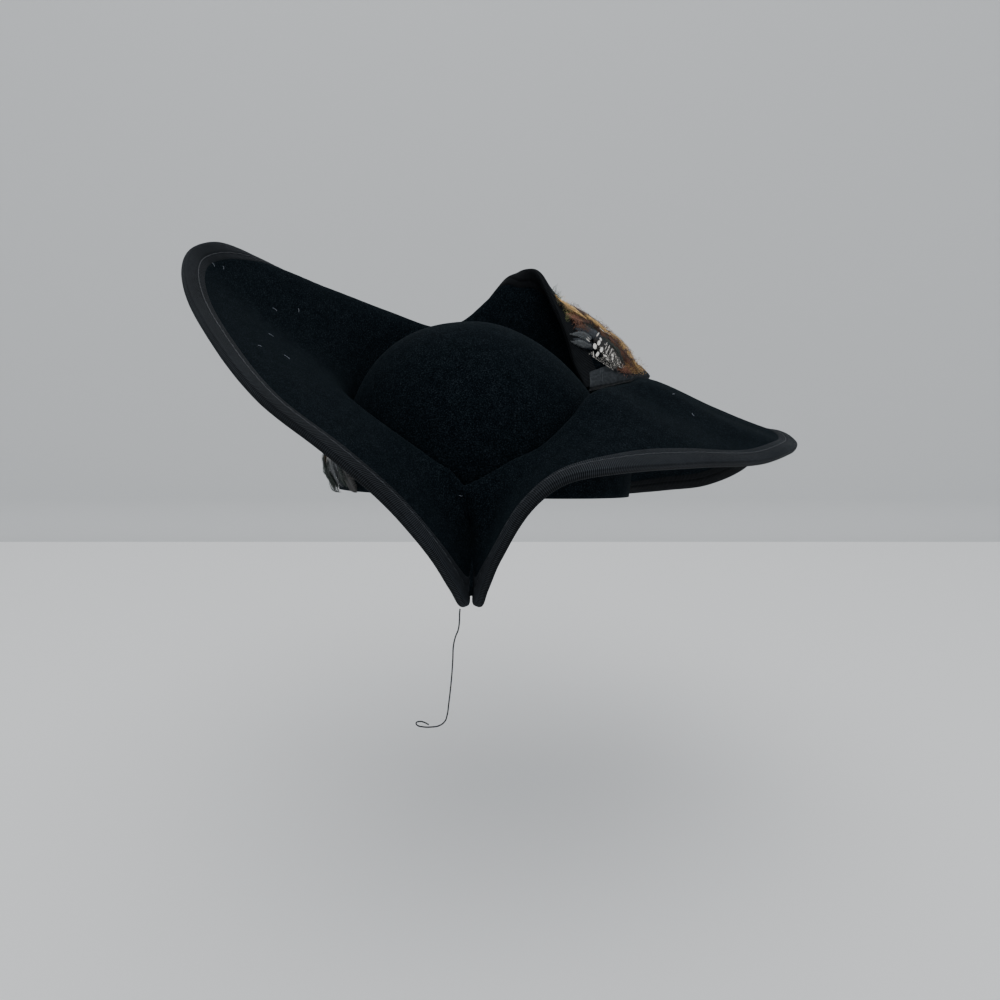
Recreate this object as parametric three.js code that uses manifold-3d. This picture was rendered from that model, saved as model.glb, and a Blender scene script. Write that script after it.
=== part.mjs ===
// Tilt hat of black wool felt: a round domed crown, a wide sculpted brim bound with grosgrain
// ribbon, a flap of the brim folded over beside a tall peak, feather trim and a thin hanging cord.
// Millimetres, +Z up. The origin is the middle of the head opening, level with its rim.
// +X points to the wearer's back, -X to the front, and -Y to the side with the pinched fold.

import * as THREE from 'three';
import Module from 'manifold-3d';
import { mergeVertices } from 'three/addons/utils/BufferGeometryUtils.js';

// Walls and clearances
const FELT = 2.5;
const HALF_FELT = FELT / 2;
const RIBBON = 1.0;
const GAP = 0.3;

// Crown: a superellipsoid dome over an oval head opening, whose rim is tilted. Its squareness eases
// by CROWN_BACK_EASE towards the back, where the dome falls more evenly.
const OPENING_HALF_LENGTH = 90;
const OPENING_HALF_WIDTH = 76;
const CROWN_HEIGHT = 108;
const CROWN_SQUARENESS = 2.35;
const CROWN_BACK_EASE = 0.55;
const CROWN_LEAN = -5;
const RIM_SIDE_SLOPE = -0.26;
const RIM_FRONT_SLOPE = -0.03;
const CROWN_SIDES = 40;
const CROWN_RINGS = 8;

// Brim: one row for each section or fold, from the slit under the flap round by the tail, the near
// side, the front and the peak to the flap. turn is the place on the head opening in degrees from
// the back. The wall rises from there past the collar, which stands collar_out from the crown at
// the height collar_z, then runs over the shoulder point to the edge point.
const BRIM_COLUMNS = [
  'turn', 'collar_out', 'collar_z',
  'shoulder_x', 'shoulder_y', 'shoulder_z',
  'edge_x', 'edge_y', 'edge_z',
];
const BRIM_SECTIONS = [
  [38, 13, 20, 96, 64, -2, 108, 76, -22],
  [28, 21, 44, 122, 54, 16, 136, 68, -17],
  [18, 27, 62, 138, 36, 36, 160, 56, -10],
  [9, 31, 68, 142, 20, 50, 180, 40, 6],
  [4, 33, 70.5, 146, 12, 53, 191, 27, 28],
  [0, 34, 71.5, 150, 4, 51, 196, 14, 34],
  [-5, 33, 72, 148, -8, 50, 197, -4, 32],
  [-12, 30, 72, 138, -22, 52, 185, -27, 33],
  [-24, 20, 71.5, 118, -42, 53, 159, -52, 33],
  [-42, 17, 70, 90, -72, 58, 113, -90, 41],
  [-57, 13, 58, 62, -94, 55, 66, -121, 46],
  [-69, 10, 46, 36, -100, 45, 40, -129, 43],
  [-79, 8, 39.8, 17, -103, 28, 23, -132, 30],
  [-86, 8, 33.8, 7, -101, 10, 9, -130, 5],
  [-91, 8, 29.5, 0, -99, 1, 2.5, -126, -13],
  [-93.5, 8, 27.5, -3, -98, -2, -0.9, -123, -23.5],
  [-95.5, 8, 26.5, -5, -98, -2, -4.6, -120.5, -21.2],
  [-97.5, 8, 30, -7, -98, -2, -8.3, -123, -23.5],
  [-100, 8, 34.5, -11, -99, 2, -13, -126, -13],
  [-105, 8, 39, -20, -102, 14, -24, -131, 9],
  [-112, 7, 45, -34, -104, 34, -43, -135, 35],
  [-122, 7, 52, -54, -102, 54, -68, -134, 58],
  [-136, 7, 59, -82, -86, 73, -100, -124, 81],
  [-150, 7, 63, -104, -64, 88, -129, -95, 104],
  [-166, 7, 64, -124, -32, 102, -158, -50, 128],
  [-179, 8, 64, -134, -2, 110, -172, -8, 147],
  [-189, 9, 64, -136, 16, 122, -164, 15, 153],
  [-199, 10, 64, -128, 38, 133, -151, 38, 146],
  [-212, 10, 63, -104, 58, 124, -128, 74, 124],
  [-228, 10, 62, -68, 72, 109, -92, 98, 102],
  [-244, 9, 62, -34, 80, 97, -48, 106, 87],
  [-258, 8, 62, -16, 84, 102, -24, 103, 91],
  [-270, 8, 62, 1, 86, 116, -2, 101, 108],
  [-280, 9, 62, 18, 86, 132, 18, 93, 131],
  [-287, 12, 62, 34, 86, 130, 35, 84, 138],
  [-294, 25, 62, 54, 86, 116, 48.6, 74, 113.5],
  [-302, 31, 58, 73, 79, 105, 56.4, 64, 94.6],
  [-310, 38, 52, 91, 69, 88, 62, 56, 76],
  [-316, 39, 46, 114, 60, 66, 69.5, 45, 60],
];
const BRIM_STEP = 11;
const BRIM_RINGS = 8;
const SHOULDER_GUIDE = 3;
const EDGE_GUIDE = 4;
const SHOULDER_RING = 6;
const SHOULDER_LIMIT = 0.86;
const CURVE_DIVISIONS = 200;
const BRIM_CLEARANCE = HALF_FELT + 0.55;
const WAIST_SHARE = 0.3;
const FOLD_LEFT_TURN = -97.5;
const FOLD_RIGHT_TURN = -93.5;

// Binding: ribbon folded over the edge, the same width on both faces
const BINDING_WIDTH = 12;
const FOLD_LIP = 0.45;
const HEM_LOWEST_RING = 1;

// Feathers: each group is a patch on the outer face of the brim, between two turns. Its rows give
// the ring of each strip at the two turns and its thickness, where ring 0 is the head opening, ring
// SHOULDER_RING the shoulder and ring BRIM_RINGS the inner edge of the binding. Every other lock
// stands LOCK_RELIEF proud, and both ends are thinned to END_THICKNESS of the rest.
const STRIP_COLUMNS = ['from_ring', 'to_ring', 'thickness'];
const FEATHER_GROUPS = {
  feather_pad: {
    turns: [-289, -312.5],
    strips: [
      [5, 5, 1.2],
      [6, 6, 6.2],
      [7, 7, 5.2],
      [7.9, 7.9, 1.0],
    ],
  },
  feather_sweep: {
    turns: [-200, -309],
    strips: [
      [0.9, 1.4, 1.0],
      [1.2, 2.0, 2.8],
      [1.5, 2.6, 3.0],
      [1.8, 3.2, 2.8],
      [2.1, 3.8, 1.0],
    ],
  },
  feather_front: {
    turns: [-164, -197],
    strips: [
      [0.3, 0.4, 1.0],
      [0.7, 0.8, 7.0],
      [1.1, 1.2, 9.0],
      [1.6, 1.7, 10.0],
      [2.0, 2.1, 1.2],
    ],
  },
};
const LOCK_RELIEF = 0.9;
const END_THICKNESS = 0.4;
const FEATHER_GAP = 0.9;

// Cord: hangs from the left end of the near fold and hooks back at its bare end
const CORD_DIAMETER = 0.8;
const CORD_STEPS = 46;
const CORD_SIDES = 8;
const CORD_ROUTE = [
  [-10.1, -123, -25.3],
  [-10.3, -123, -27.6],
  [-10.5, -122.8, -32],
  [-11.2, -122.4, -37],
  [-12.8, -122.2, -41.5],
  [-13.9, -122, -47],
  [-14.3, -122, -54],
  [-14.9, -122, -62],
  [-15.8, -122, -71],
  [-16.9, -122, -80],
  [-17.9, -122, -87],
  [-19.3, -122.1, -91],
  [-22.4, -122.3, -93.4],
  [-26.6, -122.6, -94],
  [-30.6, -122.9, -93.7],
  [-33.6, -123.2, -92.6],
  [-34.2, -123.6, -90.8],
  [-32.4, -124.1, -89.6],
  [-29.6, -124.6, -89.9],
  [-27.4, -125, -91],
];

const FELT_COLOUR = 0x0c0d10;
const RIBBON_COLOUR = 0x1b1b20;
const PAD_COLOUR = 0x8a6430;
const SWEEP_COLOUR = 0x3b2c20;

const wasm = await Module();
wasm.setup();

const radians = (degrees) => degrees * Math.PI / 180;

const named = (columns, rows) => (
  rows.map((row) => Object.fromEntries(row.map((value, place) => [columns[place], value])))
);

function indexed(points, indices) {
  const geometry = new THREE.BufferGeometry();
  const numbers = points.flatMap((point) => point.toArray());
  geometry.setAttribute('position', new THREE.Float32BufferAttribute(numbers, 3));
  geometry.setIndex(indices);
  return geometry;
}

// A closed wall between two equal grids of points. Rows run along the first index. The outer grid
// lies on the side that the cross product of the row and column directions points to. crossed says
// for each grid whether its squares are split along their second diagonal.
function wallBetween(outer, inner, crossed) {
  const rows = outer.length;
  const columns = outer[0].length;
  const top = (i, j) => i * columns + j;
  const under = (i, j) => rows * columns + top(i, j);
  const indices = [];
  const quad = (a, b, c, d, cross = false) => (
    cross ? indices.push(b, c, d, b, d, a) : indices.push(a, b, c, a, c, d)
  );
  for (let i = 0; i < rows - 1; i += 1) {
    for (let j = 0; j < columns - 1; j += 1) {
      quad(top(i, j), top(i + 1, j), top(i + 1, j + 1), top(i, j + 1), crossed[0]);
      quad(under(i, j), under(i, j + 1), under(i + 1, j + 1), under(i + 1, j), crossed[1]);
    }
    quad(under(i, 0), under(i + 1, 0), top(i + 1, 0), top(i, 0));
    quad(top(i, columns - 1), top(i + 1, columns - 1), under(i + 1, columns - 1), under(i, columns - 1));
  }
  for (let j = 0; j < columns - 1; j += 1) {
    quad(under(0, j), top(0, j), top(0, j + 1), under(0, j + 1));
    quad(under(rows - 1, j + 1), top(rows - 1, j + 1), top(rows - 1, j), under(rows - 1, j));
  }
  return indexed([...outer.flat(), ...inner.flat()], indices);
}

// A closed body through equal loops of points, each end drawn together in one point. The loops
// turn anticlockwise seen from the last one.
function loft(loops, firstTip, lastTip) {
  const sides = loops[0].length;
  const points = [...loops.flat(), firstTip, lastTip];
  const at = (loop, side) => loop * sides + (side % sides);
  const last = loops.length - 1;
  const indices = [];
  for (let side = 0; side < sides; side += 1) {
    for (let loop = 0; loop < last; loop += 1) {
      indices.push(at(loop, side), at(loop, side + 1), at(loop + 1, side + 1));
      indices.push(at(loop, side), at(loop + 1, side + 1), at(loop + 1, side));
    }
    indices.push(at(0, side + 1), at(0, side), points.length - 2);
    indices.push(at(last, side), at(last, side + 1), points.length - 1);
  }
  return indexed(points, indices);
}

function solidOf(geometry) {
  const plain = geometry.clone();
  plain.deleteAttribute('normal');
  plain.deleteAttribute('uv');
  const merged = mergeVertices(plain);
  return new wasm.Manifold(new wasm.Mesh({
    numProp: 3,
    vertProperties: new Float32Array(merged.attributes.position.array),
    triVerts: new Uint32Array(merged.index.array),
  }));
}

function geometryOf(solid) {
  const mesh = solid.getMesh();
  const geometry = new THREE.BufferGeometry();
  geometry.setAttribute('position', new THREE.BufferAttribute(mesh.vertProperties, 3));
  geometry.setIndex(new THREE.BufferAttribute(mesh.triVerts, 1));
  return geometry;
}

// Height of the tilted rim of the head opening at a turn
const rimHeight = (turn) => (
  RIM_SIDE_SLOPE * OPENING_HALF_WIDTH * Math.sin(radians(turn))
  + RIM_FRONT_SLOPE * OPENING_HALF_LENGTH * Math.cos(radians(turn))
);

// Point that lies `out` beyond the crown's outer face, at a turn and a height
function crownPoint(turn, height, out) {
  const share = Math.max(height, 0) / CROWN_HEIGHT;
  const power = CROWN_SQUARENESS - CROWN_BACK_EASE * Math.max(Math.cos(radians(turn)), 0);
  const scale = (1 - share ** power) ** (1 / power);
  return new THREE.Vector3(
    CROWN_LEAN * share * share + (OPENING_HALF_LENGTH * scale + out) * Math.cos(radians(turn)),
    (OPENING_HALF_WIDTH * scale + out) * Math.sin(radians(turn)),
    height,
  );
}

// Solid dome, moved in by `inset` and carried down below the rim by `drop`
function dome(inset, drop) {
  const loops = [];
  for (let ring = 0; ring < CROWN_RINGS; ring += 1) {
    const rise = Math.sin((ring / CROWN_RINGS) * Math.PI / 2) ** (2 / CROWN_SQUARENESS);
    const loop = [];
    for (let side = 0; side < CROWN_SIDES; side += 1) {
      const turn = side * 360 / CROWN_SIDES;
      const rim = rimHeight(turn) - drop;
      const point = crownPoint(turn, rim + (CROWN_HEIGHT - rim) * rise, 0);
      const middle = CROWN_LEAN * rise * rise;
      point.x = middle + (point.x - middle) * (1 - inset / OPENING_HALF_LENGTH);
      point.y *= 1 - inset / OPENING_HALF_WIDTH;
      point.z -= inset * rise;
      loop.push(point);
    }
    loops.push(loop);
  }
  const low = new THREE.Vector3(0, 0, -drop);
  const high = new THREE.Vector3(CROWN_LEAN, 0, CROWN_HEIGHT - inset);
  return solidOf(loft(loops, low, high));
}

// Guide points of one brim section, from the head opening to the edge. The waist keeps the wall
// clear of the crown between the rim and the collar.
function sectionGuides(section) {
  const rim = rimHeight(section.turn);
  const root = crownPoint(section.turn, rim, BRIM_CLEARANCE);
  const waistOut = BRIM_CLEARANCE + WAIST_SHARE * section.collar_out;
  const waist = crownPoint(section.turn, (rim + section.collar_z) / 2, waistOut);
  const collar = crownPoint(section.turn, section.collar_z, section.collar_out);
  const shoulder = new THREE.Vector3(section.shoulder_x, section.shoulder_y, section.shoulder_z);
  const edge = new THREE.Vector3(section.edge_x, section.edge_y, section.edge_z);
  return [root, waist, collar, shoulder, edge];
}

// Smooth blend of one guide point between two rows, by a cubic through the neighbouring rows
function blend(guides, knots, row, guide, share) {
  const slope = (at) => {
    const before = Math.max(at - 1, 0);
    const after = Math.min(at + 1, guides.length - 1);
    const change = guides[after][guide].clone().sub(guides[before][guide]);
    return change.divideScalar(knots[after] - knots[before]);
  };
  const span = knots[row + 1] - knots[row];
  const squared = share ** 2;
  const cubed = share ** 3;
  return new THREE.Vector3()
    .addScaledVector(guides[row][guide], 2 * cubed - 3 * squared + 1)
    .addScaledVector(slope(row), (cubed - 2 * squared + share) * span)
    .addScaledVector(guides[row + 1][guide], 3 * squared - 2 * cubed)
    .addScaledVector(slope(row + 1), (cubed - squared) * span);
}

// Places of the brim's sections as [row, share of the way to the next row], about BRIM_STEP apart.
// The last two lie one binding width apart, for the ribbon along the lower edge of the flap.
function sectionPlaces(guides) {
  const places = [];
  for (let row = 0; row < guides.length - 1; row += 1) {
    const reach = (guide) => guides[row][guide].distanceTo(guides[row + 1][guide]);
    const steps = Math.max(1, Math.round(reach(EDGE_GUIDE) / BRIM_STEP));
    if (row < guides.length - 2) {
      for (let step = 0; step < steps; step += 1) {
        places.push([row, step / steps]);
      }
    } else {
      const hem = 1 - 2 * BINDING_WIDTH / (reach(SHOULDER_GUIDE) + reach(EDGE_GUIDE));
      places.push([row, 0], [row, hem / 2], [row, hem], [row, 1]);
    }
  }
  return places;
}

// Points of one section: SHOULDER_RING even steps from the root to the shoulder, even steps from
// there to the inner edge of the binding, then the edge. A shoulder close to the binding counts
// only up to SHOULDER_LIMIT of the way there.
function sectionPoints(guides) {
  const curve = new THREE.CatmullRomCurve3(guides, false, 'centripetal');
  const lengths = curve.getLengths(CURVE_DIVISIONS);
  const whole = lengths[CURVE_DIVISIONS];
  const plain = whole - BINDING_WIDTH;
  const shoulder = Math.min(lengths[CURVE_DIVISIONS * SHOULDER_GUIDE / EDGE_GUIDE], SHOULDER_LIMIT * plain);
  const outerStep = (plain - shoulder) / (BRIM_RINGS - SHOULDER_RING);
  const points = [];
  for (let ring = 0; ring <= BRIM_RINGS; ring += 1) {
    const beyond = ring - SHOULDER_RING;
    const place = beyond < 0 ? shoulder * ring / SHOULDER_RING : shoulder + outerStep * beyond;
    points.push(curve.getPointAt(place / whole));
  }
  points.push(curve.getPointAt(1));
  return points;
}

// The middle surface of the brim as a grid of points with unit normals on its upper side
function brimSurface() {
  const rows = named(BRIM_COLUMNS, BRIM_SECTIONS);
  const guides = rows.map(sectionGuides);
  const knots = [0];
  for (let row = 1; row < guides.length; row += 1) {
    const reach = guides[row][EDGE_GUIDE].distanceTo(guides[row - 1][EDGE_GUIDE]);
    knots.push(knots[row - 1] + Math.sqrt(reach));
  }
  const places = sectionPlaces(guides);
  const points = places.map(([row, share]) => (
    sectionPoints(guides[row].map((_, guide) => blend(guides, knots, row, guide, share)))
  ));
  const turns = places.map(([row, share]) => (
    rows[row].turn + share * (rows[row + 1].turn - rows[row].turn)
  ));
  const lastRow = points.length - 1;
  const lastRing = points[0].length - 1;
  const normals = points.map((line, i) => line.map((_, j) => {
    const along = points[Math.min(i + 1, lastRow)][j].clone().sub(points[Math.max(i - 1, 0)][j]);
    const across = line[Math.min(j + 1, lastRing)].clone().sub(line[Math.max(j - 1, 0)]);
    return along.cross(across).normalize();
  }));
  return { points, normals, turns, lastRow, lastRing };
}

const brim = brimSurface();

const brimAt = (i, j, off, past = 0, outward = null) => {
  const point = brim.points[i][j].clone().addScaledVector(brim.normals[i][j], off);
  return outward ? point.addScaledVector(outward, past) : point;
};

const offsetBrim = (off) => brim.points.map((line, i) => line.map((_, j) => brimAt(i, j, off)));

const feltBetween = (top, under) => wallBetween(offsetBrim(top), offsetBrim(under), [false, true]);

// Section with this turn
const sectionAt = (turn) => brim.turns.findIndex((value) => value <= turn);

// The six points of folded ribbon round an edge, on its outer or its inner face. near and rim are
// the surface places of the ribbon's border and of the felt's edge.
function foldPoints(near, rim, past) {
  const outward = brim.points[rim[0]][rim[1]].clone().sub(brim.points[near[0]][near[1]]).normalize();
  return (clearance) => {
    const off = HALF_FELT + GAP + clearance;
    const lip = FOLD_LIP + clearance;
    return [
      brimAt(...near, off, past, outward),
      brimAt(...rim, off, clearance / 2, outward),
      brimAt(...rim, off / 2, lip, outward),
      brimAt(...rim, -off / 2, lip, outward),
      brimAt(...rim, -off, clearance / 2, outward),
      brimAt(...near, -off, past, outward),
    ];
  };
}

// Ribbon folded over the outer edge between two sections
function edgeBinding(first, last) {
  const lines = { outer: [], inner: [] };
  for (let i = first; i <= last; i += 1) {
    const fold = foldPoints([i, brim.lastRing - 1], [i, brim.lastRing], 0);
    lines.outer.push(fold(RIBBON));
    lines.inner.push(fold(0));
  }
  return wallBetween(lines.outer, lines.inner, [false, false]);
}

// Ribbon folded over the lower edge of the flap, from its corner down towards the head opening
function flapBinding() {
  const lines = { outer: [], inner: [] };
  for (let j = brim.lastRing; j >= HEM_LOWEST_RING; j -= 1) {
    const fold = foldPoints([brim.lastRow - 1, j], [brim.lastRow, j], GAP);
    lines.outer.push(fold(RIBBON));
    lines.inner.push(fold(0));
  }
  return wallBetween(lines.outer, lines.inner, [true, true]);
}

// Point on the outer face of the brim at a section and a ring between those of its grid
function outerFace(i, ring, out) {
  const low = Math.min(Math.floor(ring), brim.lastRing - 1);
  const mix = (line) => line[low].clone().lerp(line[low + 1], ring - low);
  const normal = mix(brim.normals[i]).normalize();
  return mix(brim.points[i]).addScaledVector(normal, -(HALF_FELT + FEATHER_GAP + out));
}

// Feathers as strips that run from section to section over a common backing
function feathers({ turns, strips }) {
  const [first, last] = turns.map(sectionAt);
  const rows = { outer: [], backing: [] };
  for (let i = first; i <= last; i += 1) {
    const share = (i - first) / (last - first);
    const thinning = i === first || i === last ? END_THICKNESS : 1;
    const lines = named(STRIP_COLUMNS, strips).map((strip, place) => {
      const ring = strip.from_ring + share * (strip.to_ring - strip.from_ring);
      const relief = (place + i) % 2 === 0 ? LOCK_RELIEF : 0;
      const thickness = (strip.thickness + relief) * thinning;
      return { outer: outerFace(i, ring, thickness), backing: outerFace(i, ring, 0) };
    });
    rows.outer.push(lines.map((line) => line.outer));
    rows.backing.push(lines.map((line) => line.backing));
  }
  return wallBetween(rows.backing, rows.outer, [true, true]);
}

function cordGeometry() {
  const points = CORD_ROUTE.map((place) => new THREE.Vector3(...place));
  const route = new THREE.CatmullRomCurve3(points, false, 'centripetal');
  const section = new THREE.Shape();
  for (let side = 0; side < CORD_SIDES; side += 1) {
    const angle = side * 2 * Math.PI / CORD_SIDES;
    const x = Math.cos(angle) * CORD_DIAMETER / 2;
    const y = Math.sin(angle) * CORD_DIAMETER / 2;
    if (side === 0) {
      section.moveTo(x, y);
    } else {
      section.lineTo(x, y);
    }
  }
  return new THREE.ExtrudeGeometry(section, { steps: CORD_STEPS, extrudePath: route, bevelEnabled: false });
}

const cloth = (color, roughness) => new THREE.MeshStandardMaterial({ color, roughness, metalness: 0 });
const felt = cloth(FELT_COLOUR, 0.95);
const ribbon = cloth(RIBBON_COLOUR, 0.8);
const padFeather = cloth(PAD_COLOUR, 0.7);
const sweepFeather = cloth(SWEEP_COLOUR, 0.7);

const hat = new THREE.Group();

function addPiece(name, geometry, surface) {
  const mesh = new THREE.Mesh(geometry, surface);
  mesh.name = name;
  hat.add(mesh);
}

addPiece('crown', geometryOf(dome(0, 0).subtract(dome(FELT, FELT))), felt);
addPiece('brim', feltBetween(HALF_FELT, -HALF_FELT), felt);
addPiece('binding_tail', edgeBinding(0, sectionAt(FOLD_RIGHT_TURN)), ribbon);
addPiece('binding_front', edgeBinding(sectionAt(FOLD_LEFT_TURN), brim.lastRow - 1), ribbon);
addPiece('binding_flap', flapBinding(), ribbon);
addPiece('feather_pad', feathers(FEATHER_GROUPS.feather_pad), padFeather);
addPiece('feather_sweep', feathers(FEATHER_GROUPS.feather_sweep), sweepFeather);
addPiece('feather_front', feathers(FEATHER_GROUPS.feather_front), sweepFeather);
addPiece('cord', cordGeometry(), ribbon);

export default hat;
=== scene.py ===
import math

import bpy
import numpy as np
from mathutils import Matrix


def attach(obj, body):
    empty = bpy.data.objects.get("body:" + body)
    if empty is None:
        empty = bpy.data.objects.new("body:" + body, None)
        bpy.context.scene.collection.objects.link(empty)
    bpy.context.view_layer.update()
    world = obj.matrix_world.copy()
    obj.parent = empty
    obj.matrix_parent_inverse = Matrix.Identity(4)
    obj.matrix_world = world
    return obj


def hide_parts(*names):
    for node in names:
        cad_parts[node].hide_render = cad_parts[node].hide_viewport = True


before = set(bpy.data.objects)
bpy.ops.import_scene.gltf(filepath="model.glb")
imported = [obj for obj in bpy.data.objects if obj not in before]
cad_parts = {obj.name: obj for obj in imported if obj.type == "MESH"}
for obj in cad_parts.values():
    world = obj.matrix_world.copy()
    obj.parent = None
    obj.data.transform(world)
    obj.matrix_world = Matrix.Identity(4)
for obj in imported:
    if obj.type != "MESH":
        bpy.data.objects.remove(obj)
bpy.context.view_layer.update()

MM = 0.001
BODY = "root"

# Camera: a pinhole view of 1000 pixels, in metres and degrees, pitched down on the hat
CAMERA_PLACE = (0.01, -0.46, 0.135)
CAMERA_PITCH = 17.0
FOCAL_PIXELS = 735.0
IMAGE_PIXELS = 1000.0
SENSOR = 36.0

# Walls and the crown's form, in millimetres
FELT = 2.5
HALF_FELT = FELT / 2
OPENING_HALF_LENGTH = 90.0
OPENING_HALF_WIDTH = 76.0
CROWN_HEIGHT = 108.0
CROWN_SQUARENESS = 2.35
CROWN_BACK_EASE = 0.55
CROWN_LEAN = -5.0
RIM_SIDE_SLOPE = -0.26
RIM_FRONT_SLOPE = -0.03

# Brim rows in degrees and millimetres: turn, collar_out, collar_z, shoulder x y z, edge x y z
BRIM_SECTIONS = [
    [38, 13, 20, 96, 64, -2, 108, 76, -22],
    [28, 21, 44, 122, 54, 16, 136, 68, -17],
    [18, 27, 62, 138, 36, 36, 160, 56, -10],
    [9, 31, 68, 142, 20, 50, 180, 40, 6],
    [4, 33, 70.5, 146, 12, 53, 191, 27, 28],
    [0, 34, 71.5, 150, 4, 51, 196, 14, 34],
    [-5, 33, 72, 148, -8, 50, 197, -4, 32],
    [-12, 30, 72, 138, -22, 52, 185, -27, 33],
    [-24, 20, 71.5, 118, -42, 53, 159, -52, 33],
    [-42, 17, 70, 90, -72, 58, 113, -90, 41],
    [-57, 13, 58, 62, -94, 55, 66, -121, 46],
    [-69, 10, 46, 36, -100, 45, 40, -129, 43],
    [-79, 8, 39.8, 17, -103, 28, 23, -132, 30],
    [-86, 8, 33.8, 7, -101, 10, 9, -130, 5],
    [-91, 8, 29.5, 0, -99, 1, 2.5, -126, -13],
    [-93.5, 8, 27.5, -3, -98, -2, -0.9, -123, -23.5],
    [-95.5, 8, 26.5, -5, -98, -2, -4.6, -120.5, -21.2],
    [-97.5, 8, 30, -7, -98, -2, -8.3, -123, -23.5],
    [-100, 8, 34.5, -11, -99, 2, -13, -126, -13],
    [-105, 8, 39, -20, -102, 14, -24, -131, 9],
    [-112, 7, 45, -34, -104, 34, -43, -135, 35],
    [-122, 7, 52, -54, -102, 54, -68, -134, 58],
    [-136, 7, 59, -82, -86, 73, -100, -124, 81],
    [-150, 7, 63, -104, -64, 88, -129, -95, 104],
    [-166, 7, 64, -124, -32, 102, -158, -50, 128],
    [-179, 8, 64, -134, -2, 110, -172, -8, 147],
    [-189, 9, 64, -136, 16, 122, -164, 15, 153],
    [-199, 10, 64, -128, 38, 133, -151, 38, 146],
    [-212, 10, 63, -104, 58, 124, -128, 74, 124],
    [-228, 10, 62, -68, 72, 109, -92, 98, 102],
    [-244, 9, 62, -34, 80, 97, -48, 106, 87],
    [-258, 8, 62, -16, 84, 102, -24, 103, 91],
    [-270, 8, 62, 1, 86, 116, -2, 101, 108],
    [-280, 9, 62, 18, 86, 132, 18, 93, 131],
    [-287, 12, 62, 34, 86, 130, 35, 84, 138],
    [-294, 25, 62, 54, 86, 116, 48.6, 74, 113.5],
    [-302, 31, 58, 73, 79, 105, 56.4, 64, 94.6],
    [-310, 38, 52, 91, 69, 88, 62, 56, 76],
    [-316, 39, 46, 114, 60, 66, 69.5, 45, 60],
]
# Rings across a row: 0 at the rim, then the shoulder, the binding's border and the edge
SHOULDER_RING = 6
BORDER_RING = 8
EDGE_RING = 9
SHOULDER_LIMIT = 0.86
CURVE_DIVISIONS = 120
BRIM_CLEARANCE = HALF_FELT + 0.55
WAIST_SHARE = 0.3
BINDING_WIDTH = 12.0

# The cord's thickness and its route from the V to its end, in millimetres
CORD_DIAMETER = 0.8
CORD_ROUTE = [
    [-10.1, -123, -25.3],
    [-10.3, -123, -27.6],
    [-10.5, -122.8, -32],
    [-11.2, -122.4, -37],
    [-12.8, -122.2, -41.5],
    [-13.9, -122, -47],
    [-14.3, -122, -54],
    [-14.9, -122, -62],
    [-15.8, -122, -71],
    [-16.9, -122, -80],
    [-17.9, -122, -87],
    [-19.3, -122.1, -91],
    [-22.4, -122.3, -93.4],
    [-26.6, -122.6, -94],
    [-30.6, -122.9, -93.7],
    [-33.6, -123.2, -92.6],
    [-34.2, -123.6, -90.8],
    [-32.4, -124.1, -89.6],
    [-29.6, -124.6, -89.9],
    [-27.4, -125, -91],
]


def link(obj):
    bpy.context.scene.collection.objects.link(obj)
    return obj


def make_camera():
    data = bpy.data.cameras.new("camera")
    data.sensor_fit = "HORIZONTAL"
    data.sensor_width = SENSOR
    data.lens = FOCAL_PIXELS * SENSOR / IMAGE_PIXELS
    data.clip_start = 0.01
    data.dof.use_dof = False
    camera = link(bpy.data.objects.new("camera", data))
    camera.location = CAMERA_PLACE
    camera.rotation_euler = (math.radians(90 - CAMERA_PITCH), 0, 0)
    bpy.context.scene.camera = camera


make_camera()


# Shared measures

def unit(vectors):
    return vectors / np.maximum(np.linalg.norm(vectors, axis=-1, keepdims=True), 1e-9)


def runs_across(grid):
    """Length along each row of a grid, from its first point to each of its points."""
    steps = np.linalg.norm(np.diff(grid, axis=1), axis=2)
    return np.concatenate([np.zeros((len(grid), 1)), np.cumsum(steps, axis=1)], axis=1)


def run_along(line):
    return runs_across(line[None])[0]


def resample(at, run, line):
    """Points of a line at other lengths along its run."""
    return np.stack([np.interp(at, run, values) for values in line.T], axis=1)


# Materials

RIB_PITCH = 1.0
RIB_SHARPNESS = 0.9
THREAD_PITCH = 0.42
THREAD_DEPTH = 0.16
FELT_TONES = [
    (0.38, (0.0006, 0.0015, 0.0023)),
    (0.49, (0.002, 0.0041, 0.0058)),
    (0.58, (0.0066, 0.0101, 0.0128)),
    (0.7, (0.019, 0.0255, 0.03)),
]
PLUME_TONES = [(0.3, (0.62, 0.6, 0.58)), (0.7, (1.12, 1.1, 1.06))]


def new_material(name):
    material = bpy.data.materials.new(name)
    material.use_nodes = True
    tree = material.node_tree
    return material, tree, tree.nodes["Principled BSDF"]


def connect(tree, node, inputs):
    """Set a node's inputs to plain values or to the outputs of other nodes."""
    for name, value in inputs.items():
        if isinstance(value, bpy.types.NodeSocket):
            tree.links.new(value, node.inputs[name])
        else:
            node.inputs[name].default_value = value


def add_node(tree, kind, inputs, **settings):
    node = tree.nodes.new("ShaderNode" + kind)
    for name, value in settings.items():
        setattr(node, name, value)
    connect(tree, node, inputs)
    return node.outputs


def noise(tree, scale, detail=3.0, roughness=0.6):
    """Noise laid over a piece's own coordinates, with its scale per metre."""
    place = add_node(tree, "TexCoord", {})["Object"]
    inputs = {"Vector": place, "Scale": scale, "Detail": detail, "Roughness": roughness}
    return add_node(tree, "TexNoise", inputs)["Fac"]


def attribute(tree, name, output="Fac"):
    return add_node(tree, "Attribute", {}, attribute_name=name)[output]


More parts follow.
